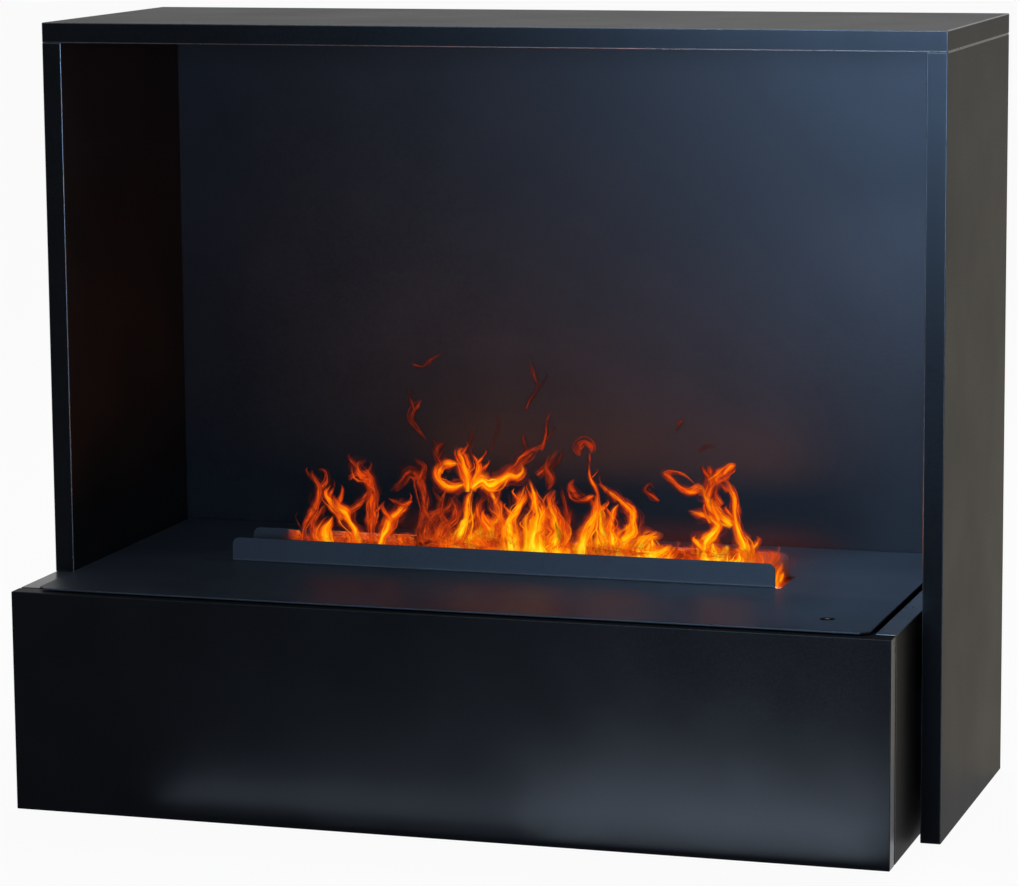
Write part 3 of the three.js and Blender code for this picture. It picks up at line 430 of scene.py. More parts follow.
def shape_of(node_name):
    shape = bmesh.new()
    shape.from_mesh(nodes[node_name].data)
    bmesh.ops.remove_doubles(shape, verts=shape.verts, dist=MERGE)
    bmesh.ops.dissolve_limit(shape, angle_limit=FLAT, verts=shape.verts, edges=shape.edges)
    for face in shape.faces:
        face.material_index = 0
    return shape


def ease(shape, size, steps=3, shortest=0.0, strip=-1):
    corners = [
        edge for edge in shape.edges
        if edge.is_manifold and edge.calc_face_angle() > CORNER and edge.calc_length() > shortest
    ]
    bmesh.ops.bevel(
        shape, geom=corners, offset=size, offset_type="OFFSET", segments=steps, profile=0.5,
        affect="EDGES", clamp_overlap=True, material=strip)
    return shape


def piece_of(name, shape, finishes, body, stands_for=()):
    mesh = bpy.data.meshes.new(name)
    shape.to_mesh(mesh)
    shape.free()
    mesh.shade_smooth()
    mesh.set_sharp_from_angle(angle=SMOOTH)
    for material in finishes:
        mesh.materials.append(material)
    piece = bpy.data.objects.new(name, mesh)
    bpy.context.scene.collection.objects.link(piece)
    even = piece.modifiers.new("even_light", "WEIGHTED_NORMAL")
    even.keep_sharp = True
    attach(piece, body)
    if stands_for:
        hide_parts(*stands_for)
    return piece


def stand_in(node_name, ending, shape, *finishes):
    """A finished piece in the place of a CAD node, on the node's own body."""
    return piece_of(f"{node_name}_{ending}", shape, finishes, nodes[node_name]["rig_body"], (node_name,))


def eased_copy(node_name, material, size, steps=3, shortest=0.0, edge=None, ends=None, tops=None):
    """Edge is the finish of the eased strips, ends that of the left and right faces, and tops that
    of the level faces. A board has all three, and other pieces have none."""
    finishes = [given for given in (material, edge, ends, tops) if given]
    shape = ease(shape_of(node_name), size, steps, shortest, 1 if edge else -1)
    for face in shape.faces:
        if ends and face.material_index == 0:
            if abs(face.normal.x) > 0.5:
                face.material_index = 2
            elif abs(face.normal.z) > 0.5:
                face.material_index = 3
    return stand_in(node_name, "eased", shape, *finishes)


# %% The portal's and the base's boards
BOARD_EASE = 0.0011
HOLE_EDGES = 0.004

boards = (
    "top_panel", "left_side_panel", "right_side_panel", "back_panel", "base_left_board",
    "base_right_board", "base_floor_board", "base_back_board", "front_rail", "base_front_panel",
)
for board in boards:
    front, edge, ends, tops = lacquer, lacquer_painted_highlight, lacquer_matt, lacquer_matt
    if board == "back_panel":
        front = back_lacquer
    # The base front's ends get the painted highlight.
    if board == "base_front_panel":
        front, edge, ends = front_lacquer, lacquer_matt, lacquer_painted_highlight
    # The base side boards' tops get the painted highlight.
    if board in ("base_left_board", "base_right_board"):
        tops = lacquer_painted_highlight
    eased_copy(board, front, BOARD_EASE, shortest=HOLE_EDGES, edge=edge, ends=ends, tops=tops)
print(len(boards), "boards eased by", BOARD_EASE * 1000, "mm")

# %% [markdown]
# The joints are pinned with fluted beech dowels. The flutes let glue rise along the pin, so each
# dowel is remade with sixteen shallow grooves and tapered ends. They show when a joint is opened.


# %% Rings of points along an axis become a closed form
def loft(rings, close_ends=True):
    shape = bmesh.new()
    made = [[shape.verts.new(point) for point in ring] for ring in rings]
    for ring, following in zip(made, made[1:]):
        for i in range(len(ring)):
            j = (i + 1) % len(ring)
            shape.faces.new((ring[i], ring[j], following[j], following[i]))
    if close_ends:
        shape.faces.new(list(reversed(made[0])))
        shape.faces.new(made[-1])
    bmesh.ops.recalc_face_normals(shape, faces=shape.faces)
    return shape


def ring_round(centre, radius, height, points, waves=0, depth=0.0):
    ring = []
    for i in range(points):
        angle = 2 * math.pi * i / points
        reach = radius - depth * (0.5 - 0.5 * math.cos(waves * angle))
        across, back = reach * math.cos(angle), reach * math.sin(angle)
        ring.append(Vector((centre.x + across, centre.y + back, height)))
    return ring


# %% Fluted dowels
FLUTES = 16
FLUTE_DEPTH = 0.00035
DOWEL_TAPER = 0.0012
DOWEL_TIP = 0.82

dowels = [name for name in nodes if name.startswith("dowel_")]
for name in dowels:
    low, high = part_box(name)
    middle = (low + high) / 2
    radius = (high.x - low.x) / 2
    heights = (low.z, low.z + DOWEL_TAPER, high.z - DOWEL_TAPER, high.z)
    radii = (radius * DOWEL_TIP, radius, radius, radius * DOWEL_TIP)
    rings = [
        ring_round(middle, reach, height, FLUTES * 4, FLUTES, FLUTE_DEPTH)
        for reach, height in zip(radii, heights)
    ]
    stand_in(name, "fluted", loft(rings), beech)
print(len(dowels), "fluted dowels")

# %% [markdown]
# The front of the base is held by two magnets and pulls off. Behind the right side panel two spacer
# blocks and two bolts carry the panel 7 mm off the base. These are plain parts, so eased copies do.

# %% Magnets, keepers and spacers
SMALL_EASE = 0.0006
THIN_EASE = 0.0003

for place_name in ("left", "right"):
    eased_copy(f"magnet_{place_name}", black_plastic, SMALL_EASE)
    eased_copy(f"keeper_{place_name}", zinc, THIN_EASE)
for place_name in ("front", "rear"):
    eased_copy(f"leg_spacer_{place_name}", black_plastic, SMALL_EASE, shortest=HOLE_EDGES)
print("magnets, keepers and spacers")


# %% A turned piece: a profile of radius and height swept round an axis
def turned(profile, middle, axis="Z", steps=64, eased=0.0, ease_steps=2):
    shape = bmesh.new()
    points = [shape.verts.new((radius * MM, 0, height * MM)) for radius, height in profile]
    edges = [shape.edges.new(pair) for pair in zip(points, points[1:])]
    bmesh.ops.spin(
        shape, geom=points + edges, cent=(0, 0, 0), axis=(0, 0, 1), dvec=(0, 0, 0),
        angle=2 * math.pi, steps=steps, use_merge=True)
    bmesh.ops.remove_doubles(shape, verts=shape.verts, dist=MERGE)
    bmesh.ops.recalc_face_normals(shape, faces=shape.faces)
    if eased:
        ease(shape, eased, ease_steps)
    turns = {
        "Z": Matrix.Identity(4),
        "X": Matrix.Rotation(math.pi / 2, 4, "Y"),
        "Y": Matrix.Rotation(-math.pi / 2, 4, "X"),
    }
    bmesh.ops.transform(shape, matrix=Matrix.Translation(middle) @ turns[axis], verts=shape.verts)
    return shape


# %% Bolts with a round recess in a domed head
BOLT_HEAD = 6.5
BOLT_HEAD_HEIGHT = 5
BOLT_SHANK = 3
BOLT_LEFT = 444
BOLT_RIGHT = 492
BOLT_LEVEL = 130

for place_name, bolt_y in (("front", 70), ("rear", 276)):
    length = BOLT_RIGHT - BOLT_LEFT
    profile = [
        (0, 2.4), (2.6, 2.4), (2.6, 0.3), (3.2, 0), (5.2, 0.25), (6.2, 1.2), (BOLT_HEAD, 2.4),
        (BOLT_HEAD, BOLT_HEAD_HEIGHT), (BOLT_SHANK, BOLT_HEAD_HEIGHT), (BOLT_SHANK, length - 1),
        (BOLT_SHANK - 1, length), (0, length),
    ]
    shape = turned(profile, place(BOLT_LEFT, bolt_y, BOLT_LEVEL), "X", steps=48)
    stand_in(f"leg_bolt_{place_name}", "turned", shape, zinc)
print("2 bolts")

# %% [markdown]
# ## Cover plate
#
# One sheet of steel, laser-cut and folded: the two lips are the flaps of the slot, bent up on a small
# radius. Sheet edges are only deburred, so they are eased by a third of a millimetre. The relief cuts
# at the slot's ends, which let the sheet fold without tearing, are in the CAD shape already.

# %% Cover plate
COVER_EASE = 0.00035

cover = eased_copy("cover_plate", powder_coat, COVER_EASE, steps=2)
print("cover plate with", len(cover.data.polygons), "faces")

# %% [markdown]
# The plate lies on two felt strips so that it does not rattle. Felt is cut from a sheet and its faces
# are never quite flat, so each strip is divided finely and its surface is moved by a small noise.

# %% Felt strips
FELT_FUZZ = 0.00022
FELT_CELL = 0.004


def box_shape(low, high):
    shape = bmesh.new()
    bmesh.ops.create_cube(shape, size=1)
    size = high - low
    middle = (high + low) / 2
    matrix = Matrix.Translation(middle) @ Matrix.Diagonal((*size, 1))
    bmesh.ops.transform(shape, matrix=matrix, verts=shape.verts)
    return shape


def diced(low, high, cell):
    """A closed box of small cells, so that its surface can be moved point by point."""
    counts = [max(1, round((high[i] - low[i]) / cell)) for i in range(3)]
    shape = bmesh.new()
    grid = {}

    def corner(i, j, k):
        if (i, j, k) not in grid:
            spot = [low[axis] + (high[axis] - low[axis]) * step / counts[axis]
                    for axis, step in enumerate((i, j, k))]
            grid[i, j, k] = shape.verts.new(spot)
        return grid[i, j, k]

    for axis in range(3):
        across, up = [(1, 2), (2, 0), (0, 1)][axis]
        for end in (0, counts[axis]):
            for a in range(counts[across]):
                for b in range(counts[up]):
                    loop = []
                    for da, db in ((0, 0), (1, 0), (1, 1), (0, 1)):
                        index = [0, 0, 0]
                        index[axis], index[across], index[up] = end, a + da, b + db
                        loop.append(corner(*index))
                    shape.faces.new(loop)
    bmesh.ops.recalc_face_normals(shape, faces=shape.faces)
    return shape


def roughen(shape, depth, scale, seed):
    """Moves each point inwards by up to depth, so the form never leaves its own box."""
    for vert in shape.verts:
        push = 0.5 + 0.5 * noise.noise(vert.co * scale + Vector((seed, 0, 0)))
        vert.co -= vert.normal * depth * push
    return shape


for name in ("front_felt", "rear_felt"):
    low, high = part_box(name)
    shape = roughen(diced(low, high, FELT_CELL), FELT_FUZZ, 260, 3.0)
    stand_in(name, "strip", shape, felt)
print("2 felt strips")

# %% [markdown]
# ## Burner
#
# The housing is an open steel tray with three slots at the back for air. The trough hangs in it on two
# bridges, and a block of ceramic fibre in the trough soaks up the fuel. A lid slides over the trough
# from behind to put the flame out. Folded sheet gets slightly larger soft edges than a cut strip.

# %% Housing, trough, stands, runners and lid
SHEET_EASE = 0.0006
LID_EASE = 0.0007
STRIP_EASE = 0.0004

eased_copy("burner_housing", housing_coat, SHEET_EASE, steps=2, shortest=HOLE_EDGES)
eased_copy("burner_trough", brushed, SHEET_EASE, steps=2, shortest=HOLE_EDGES)
eased_copy("trough_lid", brushed, LID_EASE, steps=2)
for name in ("trough_stand_left", "trough_stand_right", "lid_runner_left", "lid_runner_right"):
    eased_copy(name, zinc, STRIP_EASE, steps=2)
print("burner sheet metal")

# %% Ceramic fibre with its groove
FIBRE_CELL = 0.0055
FIBRE_LUMPS = 0.0011
GROOVE_HALF = 0.005
GROOVE_DEPTH = 0.010
GROOVE_END = 0.048
GROOVE_SIDE = 1.6

low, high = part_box("ceramic_insert")
wick = diced(low, high, FIBRE_CELL)
middle_y = (low.y + high.y) / 2
for vert in wick.verts:
    in_length = low.x + GROOVE_END < vert.co.x < high.x - GROOVE_END
    if vert.co.z > high.z - MERGE and in_length:
        off = abs(vert.co.y - middle_y) / GROOVE_HALF
        vert.co.z -= GROOVE_DEPTH * max(0.0, min(1.0, GROOVE_SIDE - off))
wick.normal_update()
roughen(wick, FIBRE_LUMPS, 90, 8.0)
piece_of("ceramic_wick", wick, [fibre], nodes["ceramic_insert"]["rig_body"], ("ceramic_insert",))
print("ceramic wick", round((high.x - low.x) * 1000), "mm long")

# %% [markdown]
# ## Tank
#
# The fuel tank is folded from brushed steel. Its neck ends under a ribbed cap, and a float on a stem
# tells the control box how full it is. The round parts are turned again here with 64 steps, because
# the CAD ones are faceted.

# %% Tank
TANK_EASE = 0.0022
TANK_EDGES = 0.012

eased_copy("fuel_tank", brushed, TANK_EASE, steps=4, shortest=TANK_EDGES)
low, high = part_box("fuel_tank")
print("tank of", round((high.z - low.z) * 1000), "mm height")


# %% Tubes along a smooth route: hoses and leads
def between(first, last, start, end, at):
    return first * ((end - at) / (end - start)) + last * ((at - start) / (end - start))


def smooth_route(points, steps):
    """A curve through all the points, whose pace follows the distance between them."""
    spread = [points[0] * 2 - points[1], *points, points[-1] * 2 - points[-2]]
    route = []
    for i in range(1, len(spread) - 2):
        p0, p1, p2, p3 = spread[i - 1:i + 3]
        t0 = 0.0
        t1 = t0 + (p1 - p0).length ** 0.5
        t2 = t1 + (p2 - p1).length ** 0.5
        t3 = t2 + (p3 - p2).length ** 0.5
        for step in range(steps):
            t = t1 + (t2 - t1) * step / steps
            a1 = between(p0, p1, t0, t1, t)
            a2 = between(p1, p2, t1, t2, t)
            a3 = between(p2, p3, t2, t3, t)
            b1 = between(a1, a2, t0, t2, t)
            b2 = between(a2, a3, t1, t3, t)
            route.append(between(b1, b2, t1, t2, t))
    route.append(points[-1].copy())
    return route


def tube(route, radius, sides=20, bore=0.0):
    """Rings that turn with the route as little as they can; with a bore, the tube is hollow."""
    ahead = (route[1] - route[0]).normalized()
    side = ahead.orthogonal().normalized()
    outer, inner = [], []
    for i, point in enumerate(route):
        before = route[max(i - 1, 0)]
        after = route[min(i + 1, len(route) - 1)]
        turned_to = (after - before).normalized()
        side = (ahead.rotation_difference(turned_to) @ side).normalized()
        ahead = turned_to
        up = ahead.cross(side)
        turns = [2 * math.pi * k / sides for k in range(sides)]
        spokes = [side * math.cos(a) + up * math.sin(a) for a in turns]
        outer.append([point + spoke * radius for spoke in spokes])
        inner.append([point + spoke * bore for spoke in spokes])
    if bore:
        shape = loft(outer + list(reversed(inner)) + [outer[0]], close_ends=False)
        bmesh.ops.remove_doubles(shape, verts=shape.verts, dist=MERGE)
        bmesh.ops.recalc_face_normals(shape, faces=shape.faces)
        return shape
    return loft(outer)


# %% Filler neck, cap, level sensor and float
NECK_PLACE = place(-2, 18.5, 0)
SENSOR_PLACE = place(-302, 18.5, 0)

neck = [
    (17, 144.5), (20, 144.5), (20, 148.5), (28, 148.5), (28, 150.5), (20.6, 150.5), (20, 151.1),
    (20, 203.7), (19.2, 204.5), (17.6, 204.5), (17, 203.9), (17, 144.5),
]
stand_in("filler_neck", "turned", turned(neck, NECK_PLACE), turned_steel)
sensor = [
    (0, 30), (4.6, 30), (5, 30.4), (5, 32), (2.5, 32), (2.5, 148.5), (18, 148.5), (18, 151),
    (17.5, 151.5), (9.6, 151.5), (9, 152.1), (9, 165.7), (8.2, 166.5), (0, 166.5),
]
stand_in("level_sensor", "turned", turned(sensor, SENSOR_PLACE), black_plastic)
float_profile = [
    (2.8, 32.9), (3.4, 32.3), (9.8, 32.3), (11, 33.5), (11, 53.1), (9.8, 54.3), (3.4, 54.3),
    (2.8, 53.7), (2.8, 32.9),
]
stand_in("level_float", "turned", turned(float_profile, SENSOR_PLACE), red_plastic)
print("neck, sensor and float")

# %% Filler cap with finger ribs
CAP_RIBS = 24
CAP_OUTER = 0.0265
CAP_RIB = 0.0012
CAP_FOOT = 0.1898
CAP_TOP = 0.2098
CAP_BORE = 0.0203
CAP_ROOF = 0.2048

# Each ring: how far inside the outer radius, its height, and the depth of its ribs
CAP_RINGS = (
    (0.0005, CAP_FOOT, CAP_RIB), (0, CAP_FOOT + 0.0006, CAP_RIB), (0, CAP_TOP - 0.0024, CAP_RIB),
    (0.0012, CAP_TOP - 0.0007, CAP_RIB * 0.5), (0.0032, CAP_TOP, 0), (0.0062, CAP_TOP, 0),
    (0.0072, CAP_TOP - 0.0008, 0),
)


def cap_ring(radius, height, rib=0.0):
    return ring_round(NECK_PLACE, radius, height, CAP_RIBS * 6, CAP_RIBS, rib)


inner_rings = [cap_ring(CAP_BORE, CAP_FOOT), cap_ring(CAP_BORE, CAP_ROOF)]
outer_rings = [cap_ring(CAP_OUTER - inside, height, rib) for inside, height, rib in CAP_RINGS]
shape = loft(list(reversed(outer_rings)) + inner_rings)
stand_in("filler_cap", "ribbed", shape, black_plastic)
print("cap with", CAP_RIBS, "ribs")

# %% [markdown]
# ## Pump, hoses and leads
#
# A small gear pump lifts fuel from the tank to the trough through rubber hoses. Each hose is pushed
# over its nipples and held by a spring clip. The routes repeat the CAD source's points, because this
# script cannot read that file. No lead hangs free: each one is fixed at both ends inside the base.

# %% Pump head with its cover screws, and the motor
PUMP_EASE = 0.0012
PUMP_EDGES = 0.01
PUMP_MIDDLE = (131, 18.5, 46.5)
PUMP_FACE = -4.5
PUMP_SCREW = 17
SCREW = [(0, 0.9), (1.4, 0.9), (1.4, 0.1), (1.9, 0), (2.7, 0.3), (3.0, 1.0), (3.0, 1.6), (0, 1.6)]


def screw_in(name, at, axis, way=1, sink=0.0):
    """A screw head whose recess faces against the axis, or along it where way is -1."""
    profile = [(radius, way * (height - sink)) for radius, height in SCREW]
    piece_of(name, turned(profile, at, axis, steps=28), [zinc], "fireplace")


eased_copy("pump_head", black_plastic, PUMP_EASE, shortest=PUMP_EDGES)
for index, (across, up) in enumerate(((-1, -1), (1, -1), (1, 1), (-1, 1))):
    at = place(PUMP_MIDDLE[0] + across * PUMP_SCREW, PUMP_FACE, PUMP_MIDDLE[2] + up * PUMP_SCREW)
    screw_in(f"pump_screw_{index + 1}", at, "Y", sink=1.2)
motor = [
    (0, 0), (19, 0), (19, 3), (18.4, 3.6), (18.4, 8), (19, 8.6), (19, 58.4), (17.4, 60), (9.5, 60),
    (9.5, 64.2), (8.7, 65), (2.6, 65), (2.6, 64.4), (0, 64.4),
]
stand_in("pump_motor", "turned", turned(motor, place(154, 18.5, 46.5), "X"), zinc)
print("pump and motor")

# %% Hoses and their spring clips
HOSE_RADIUS = 0.0054
HOSE_BORE = 0.0036


def places(*points):
    return [place(*point) for point in points]


suction = places((48.3, 18.5, 46.5), (68, 18.5, 46.5), (88, 18.5, 46.5), (107.7, 18.5, 46.5))
delivery = places(
    (131, 18.5, 69.8), (131, 18.5, 81.8), (131, 18.5, 93.8), (131, 74.75, 123.75),
    (131, 131, 153.7), (131, 131, 165.7), (131, 131, 177.7))
for name, points in (("suction_hose", suction), ("delivery_hose", delivery)):
    stand_in(name, "rubber", tube(smooth_route(points, 10), HOSE_RADIUS, 28, HOSE_BORE), rubber)
clip = [(5.4, -2.2), (6.2, -2.2), (6.4, -1.9), (6.4, 1.9), (6.2, 2.2), (5.4, 2.2), (5.4, -2.2)]
clips = (
    ("suction_tank", place(53.5, 18.5, 46.5), "X"), ("suction_pump", place(102.5, 18.5, 46.5), "X"),
    ("delivery_pump", place(131, 18.5, 75), "Z"), ("delivery_trough", place(131, 131, 172.4), "Z"),
)
for name, at, axis in clips:
    piece_of(f"hose_clip_{name}", turned(clip, at, axis, steps=40), [zinc], "fireplace")
print("2 hoses, 4 clips")

# %% Igniter and leads
LEAD_RADIUS = 0.002
MAINS_RADIUS = 0.003

igniter_lead = places(
    (105.5, 80.7, 217), (105.5, 73, 217), (105.5, 65, 217), (135.5, 51, 211), (222, 61, 196),
    (318.5, 81, 186), (338.5, 81, 186), (368, 73, 174), (372, 59, 124.5), (372, 59, 114.5),
    (372, 59, 104.8))
pump_lead = places(
    (219.3, 18.5, 46.5), (224, 18.5, 46.5), (234, 18.5, 46.5), (276.25, 18.5, 42.5),
    (328.5, 18.5, 46.5), (338.5, 18.5, 46.5), (349.7, 18.5, 46.5))
button_lead = places((389, -50, 214.7), (389, -50, 159.75), (389, -50, 104.8))
mains_lead = places(
    (382, 303.7, 80), (382, 294, 80), (382, 284, 80), (364, 229, 52), (356, 134, 32),
    (356, 114, 32), (356, 104, 32), (356, 94.3, 32))
leads = (
    ("igniter_lead", igniter_lead, LEAD_RADIUS), ("pump_lead", pump_lead, LEAD_RADIUS),
    ("button_lead", button_lead, LEAD_RADIUS), ("mains_lead", mains_lead, MAINS_RADIUS),
)
for name, points, radius in leads:
    route = smooth_route(points, 10)
    length = sum((b - a).length for a, b in zip(route, route[1:]))
    stand_in(name, "sheath", tube(route, radius, 16), rubber)
    print(name, round(length * 1000), "mm long")
eased_copy("igniter", zinc, THIN_EASE, steps=2)

# %% [markdown]
# ## Control box
#
# A moulded box holds the circuit board and a fan that keeps it cool. The lid has four screws. The
# board's parts are blocks in the CAD model, so here each becomes what it is: a wound transformer, a
# relay, a terminal block with screws, a chip with legs and a plug socket.

# %% Box, lid and lid screws
BOX_EASE = 0.0009
BOX_EDGES = 0.009

eased_copy("control_box", black_plastic, BOX_EASE, shortest=BOX_EDGES)
eased_copy("control_box_lid", black_plastic, BOX_EASE)
for index, (x, y) in enumerate(((356, -60), (432, -60), (356, 88), (432, 88))):
    screw_in(f"lid_screw_{index + 1}", place(x, y, 104.9), "Z", way=-1)
print("control box and lid")

# %% Circuit board with its parts
BOARD_CORNER = (353.5, -62.5)
BOARD_TOP = 32.1


def on_board(x, y, width, depth, low_z, high_z):
    """Corners of a part, from the circuit board's front left corner and its top."""
    x0, y0 = BOARD_CORNER
    far = place(x0 + x + width, y0 + y + depth, BOARD_TOP + high_z)
    return place(x0 + x, y0 + y, BOARD_TOP + low_z), far


def block(name, corners, material, eased, steps=2):
    return piece_of(name, ease(box_shape(*corners), eased, steps), [material], "fireplace")


low, high = place(353.5, -62.5, 30.5), place(434.5, 90.5, BOARD_TOP)
stand_in("circuit_board", "mask", ease(box_shape(low, high), 0.0004, 2), solder_mask)
block("transformer_core", on_board(8, 16, 34, 30, 6, 22), zinc, 0.0006)

WINDING_TURNS = 40
WINDING_RADIUS = 0.0115
WIRE_BULGE = 0.0003
WIRE_HALF = 0.35
winding = [
    ring_round(
        place(378.5, -31.5, 0), WINDING_RADIUS + WIRE_BULGE * (i % 2),
        (BOARD_TOP + 0.2 + i * WIRE_HALF) * MM, 40)
    for i in range(2 * WINDING_TURNS)
]
piece_of("transformer_winding", loft(winding), [copper], "fireplace")
block("relay_case", on_board(50, 18, 20, 26, 0.1, 16), black_plastic, 0.0007)
block("terminal_block", on_board(12, 64, 28, 12, 0.1, 14), solder_mask, 0.0005)
for index in range(5):
    block(f"terminal_{index + 1}", on_board(13.2 + index * 5.4, 66, 4.4, 8, 14, 20), zinc, 0.0006)
block("chip", on_board(49, 62, 12, 14, 0.5, 4), black_plastic, 0.0003)
for side, x in (("a", 48.0), ("b", 61.2)):
    for index in range(6):
        corners = on_board(x, 62.8 + index * 2.3, 0.9, 0.8, 0, 2.2)
        block(f"chip_leg_{side}{index + 1}", corners, zinc, 0.0001, 1)
block("plug_socket", on_board(20, 104, 40, 10, 0.1, 12), fibre, 0.0006)
print("circuit board with its parts")

# %% [markdown]
# The fan is a common square frame with a seven-blade rotor. Real blades are twisted and thin towards
# the tip, so the rotor is built blade by blade: a few short sections from the hub outwards, each
# turned a little more than the last, lofted into one closed form.

# %% Fan frame and rotor
FAN_MIDDLE = place(400, 0, 62)
FAN_FRONT = place(0, 95.5, 0).y
FAN_BACK = place(0, 105.7, 0).y
FAN_EASE = 0.0005
FAN_EDGES = 0.0035
HUB_RADIUS = 0.012
BLADE_REACH = 0.0265
BLADES = 7
BLADE_SECTIONS = 6
BLADE_ROOT = 0.0006
BLADE_SWEEP = 0.16
PITCH_AT_HUB = 52
PITCH_LOST = 16
CHORD = 0.0105
CHORD_BELLY = 0.0025
CHORD_SHARE = 0.78
THICKNESS = 0.0007
THINNING = 0.0003
CAMBER = 0.0007


def blade_ring(blade, share_out):
    """One closed section of a blade, at a share of the way from the hub to the tip."""
    reach = HUB_RADIUS - BLADE_ROOT + (BLADE_REACH - HUB_RADIUS) * share_out
    pitch = math.radians(PITCH_AT_HUB - PITCH_LOST * share_out)
    chord = CHORD + CHORD_BELLY * math.sin(math.pi * share_out)
    thick = THICKNESS - THINNING * share_out
    swing = 2 * math.pi * blade / BLADES + BLADE_SWEEP * share_out
    out = Vector((math.cos(swing), 0, math.sin(swing)))
    round_way = Vector((-math.sin(swing), 0, math.cos(swing)))
    along = round_way * math.cos(pitch) + Vector((0, 1, 0)) * math.sin(pitch)
    normal = along.cross(out)
    centre = Vector((FAN_MIDDLE.x, (FAN_FRONT + FAN_BACK) / 2, FAN_MIDDLE.z)) + out * reach
    ring = []
    for k in range(12):
        angle = 2 * math.pi * k / 12
        camber = CAMBER * (1 - math.cos(angle) ** 2)
        ring.append(
            centre + along * math.cos(angle) * chord / 2 * CHORD_SHARE
            + normal * (math.sin(angle) * thick + camber))
    return ring


eased_copy("fan_frame", black_plastic, FAN_EASE, steps=2, shortest=FAN_EDGES)
hub = [(0, 0), (11.2, 0), (12, 0.8), (12, 10.2), (2, 10.2), (2, 13.2), (0, 13.2)]
hub_shape = turned(hub, Vector((FAN_MIDDLE.x, FAN_FRONT, FAN_MIDDLE.z)), "Y")
for blade in range(BLADES):
    shares = [step / (BLADE_SECTIONS - 1) for step in range(BLADE_SECTIONS)]
    blade_shape = loft([blade_ring(blade, share_out) for share_out in shares])
    blade_mesh = bpy.data.meshes.new("blade")
    blade_shape.to_mesh(blade_mesh)
    blade_shape.free()
    hub_shape.from_mesh(blade_mesh)
    bpy.data.meshes.remove(blade_mesh)
stand_in("fan_rotor", "bladed", hub_shape, black_plastic)
print("fan with", BLADES, "blades")

# %% [markdown]
# ## Button
#
# The only control that shows is a small, nearly flush button at the plate's right. In the photograph it
# is a black ring, with a black cap in it that is brownish in the middle. Here the black is a painted
# shade of a recess, and the brownish middle is a painted warm highlight.

# %% Button barrel, cap and stand
BUTTON = place(389, -50, 0)
HIGHLIGHT_REACH = 0.0035

barrel = [
    (0, 215.0), (6, 215.0), (6, 234.0), (7.6, 234.0), (7.6, 245.0), (7.3, 245.3), (6.4, 245.3),
    (6.2, 245.1), (6.2, 238.7), (2.3, 238.7), (2.3, 228.7), (0, 228.7),
]
stand_in("button_barrel", "turned", turned(barrel, BUTTON, steps=72), recess_shade_steel)
push_cap = [
    (0, 231.0), (2, 231.0), (2, 241.0), (5.9, 241.0), (5.9, 245.4), (5.6, 245.8), (5.0, 246.0),
    (3.0, 245.85), (0, 245.7),
]
shape = turned(push_cap, BUTTON, steps=72)
# The cap's middle gets the painted warm highlight.
for face in shape.faces:
    from_axis = (face.calc_center_median() - BUTTON).xy.length
    face.material_index = 1 if from_axis < HIGHLIGHT_REACH else 0
stand_in("button_cap", "turned", shape, recess_shade_steel, cap_highlight_steel)
eased_copy("button_stand", zinc, STRIP_EASE, steps=2, shortest=HOLE_EDGES)
print("button at", [round(c, 3) for c in BUTTON])

# %% [markdown]
# ## Mains inlet
#
# A standard inlet with a red rocker sits behind the opening in the back board. It is seen only from
# behind, with its three pins in the socket. Eased copies of the CAD shapes carry it well.

# %% Inlet, its plate and the rocker
INLET_EDGES = 0.003
ROCKER_EASE = 0.0005

eased_copy("inlet_plate", zinc, STRIP_EASE, steps=2)
eased_copy("mains_inlet", black_plastic, STRIP_EASE, steps=2, shortest=INLET_EDGES)
eased_copy("power_rocker", red_plastic, ROCKER_EASE, shortest=INLET_EDGES)
for index, x in enumerate((352, 436)):
    screw_in(f"inlet_screw_{index + 1}", place(x, 324.0, 80), "Y", way=-1, sink=1.6)
print("inlet")

# %% [markdown]
# ## Flame
#
# The photograph was taken with the burner lit. A flame is a thin, bright sheet of gas that curls as it
# rises. Smoke simulation would cost minutes and would not export, so every tongue is a curved ribbon
# of mesh: it follows a line read by eye from the photograph, gets its width there, and bows and twists
# a little so that it holds up from the side. Its finish glows, and lets the boards show through where
# the flame is thin.

# %% Flame finish
flame_finish = bpy.data.materials.new("flame")
flame_finish.use_nodes = True
flame_tree = flame_finish.node_tree
flame_tree.nodes.clear()


def flame_attribute(name):
    made = flame_tree.nodes.new("ShaderNodeAttribute")
    made.attribute_name = name
    return made.outputs["Fac"]


def flame_math(kind, first, second):
    return combine(flame_tree, kind, first, second)


strands = flame_tree.nodes.new("ShaderNodeUVMap")
strands.uv_map = "strands"
streaks = add_node(flame_tree, "ShaderNodeTexNoise", Scale=1.0, Detail=4.0, Roughness=0.6, Distortion=0.9)
flame_tree.links.new(strands.outputs[0], streaks.inputs["Vector"])
streak = flame_math("SUBTRACT", streaks.outputs["Fac"], 0.5)
heat = flame_math("ADD", flame_attribute("warmth"), flame_math("MULTIPLY", streak, 0.9))
colours = flame_tree.nodes.new("ShaderNodeValToRGB")
stops = colours.color_ramp
stops.elements[0].color = (0.020, 0.004, 0.003, 1)
stops.elements[1].color = (1.0, 0.70, 0.02, 1)
for position, colour in (
    (0.22, (0.13, 0.012, 0.005, 1)), (0.40, (0.46, 0.034, 0.005, 1)), (0.56, (0.84, 0.095, 0.003, 1)),
    (0.72, (1.0, 0.24, 0.002, 1)), (0.88, (1.0, 0.46, 0.004, 1)),
):
    stops.elements.new(position).color = colour
flame_tree.links.new(heat, colours.inputs["Fac"])
torn = flame_math("ADD", flame_math("MULTIPLY", streak, flame_attribute("torn")), 1.0)
solid = flame_math("MINIMUM", flame_math("MULTIPLY", flame_attribute("cover"), torn), 1.0)
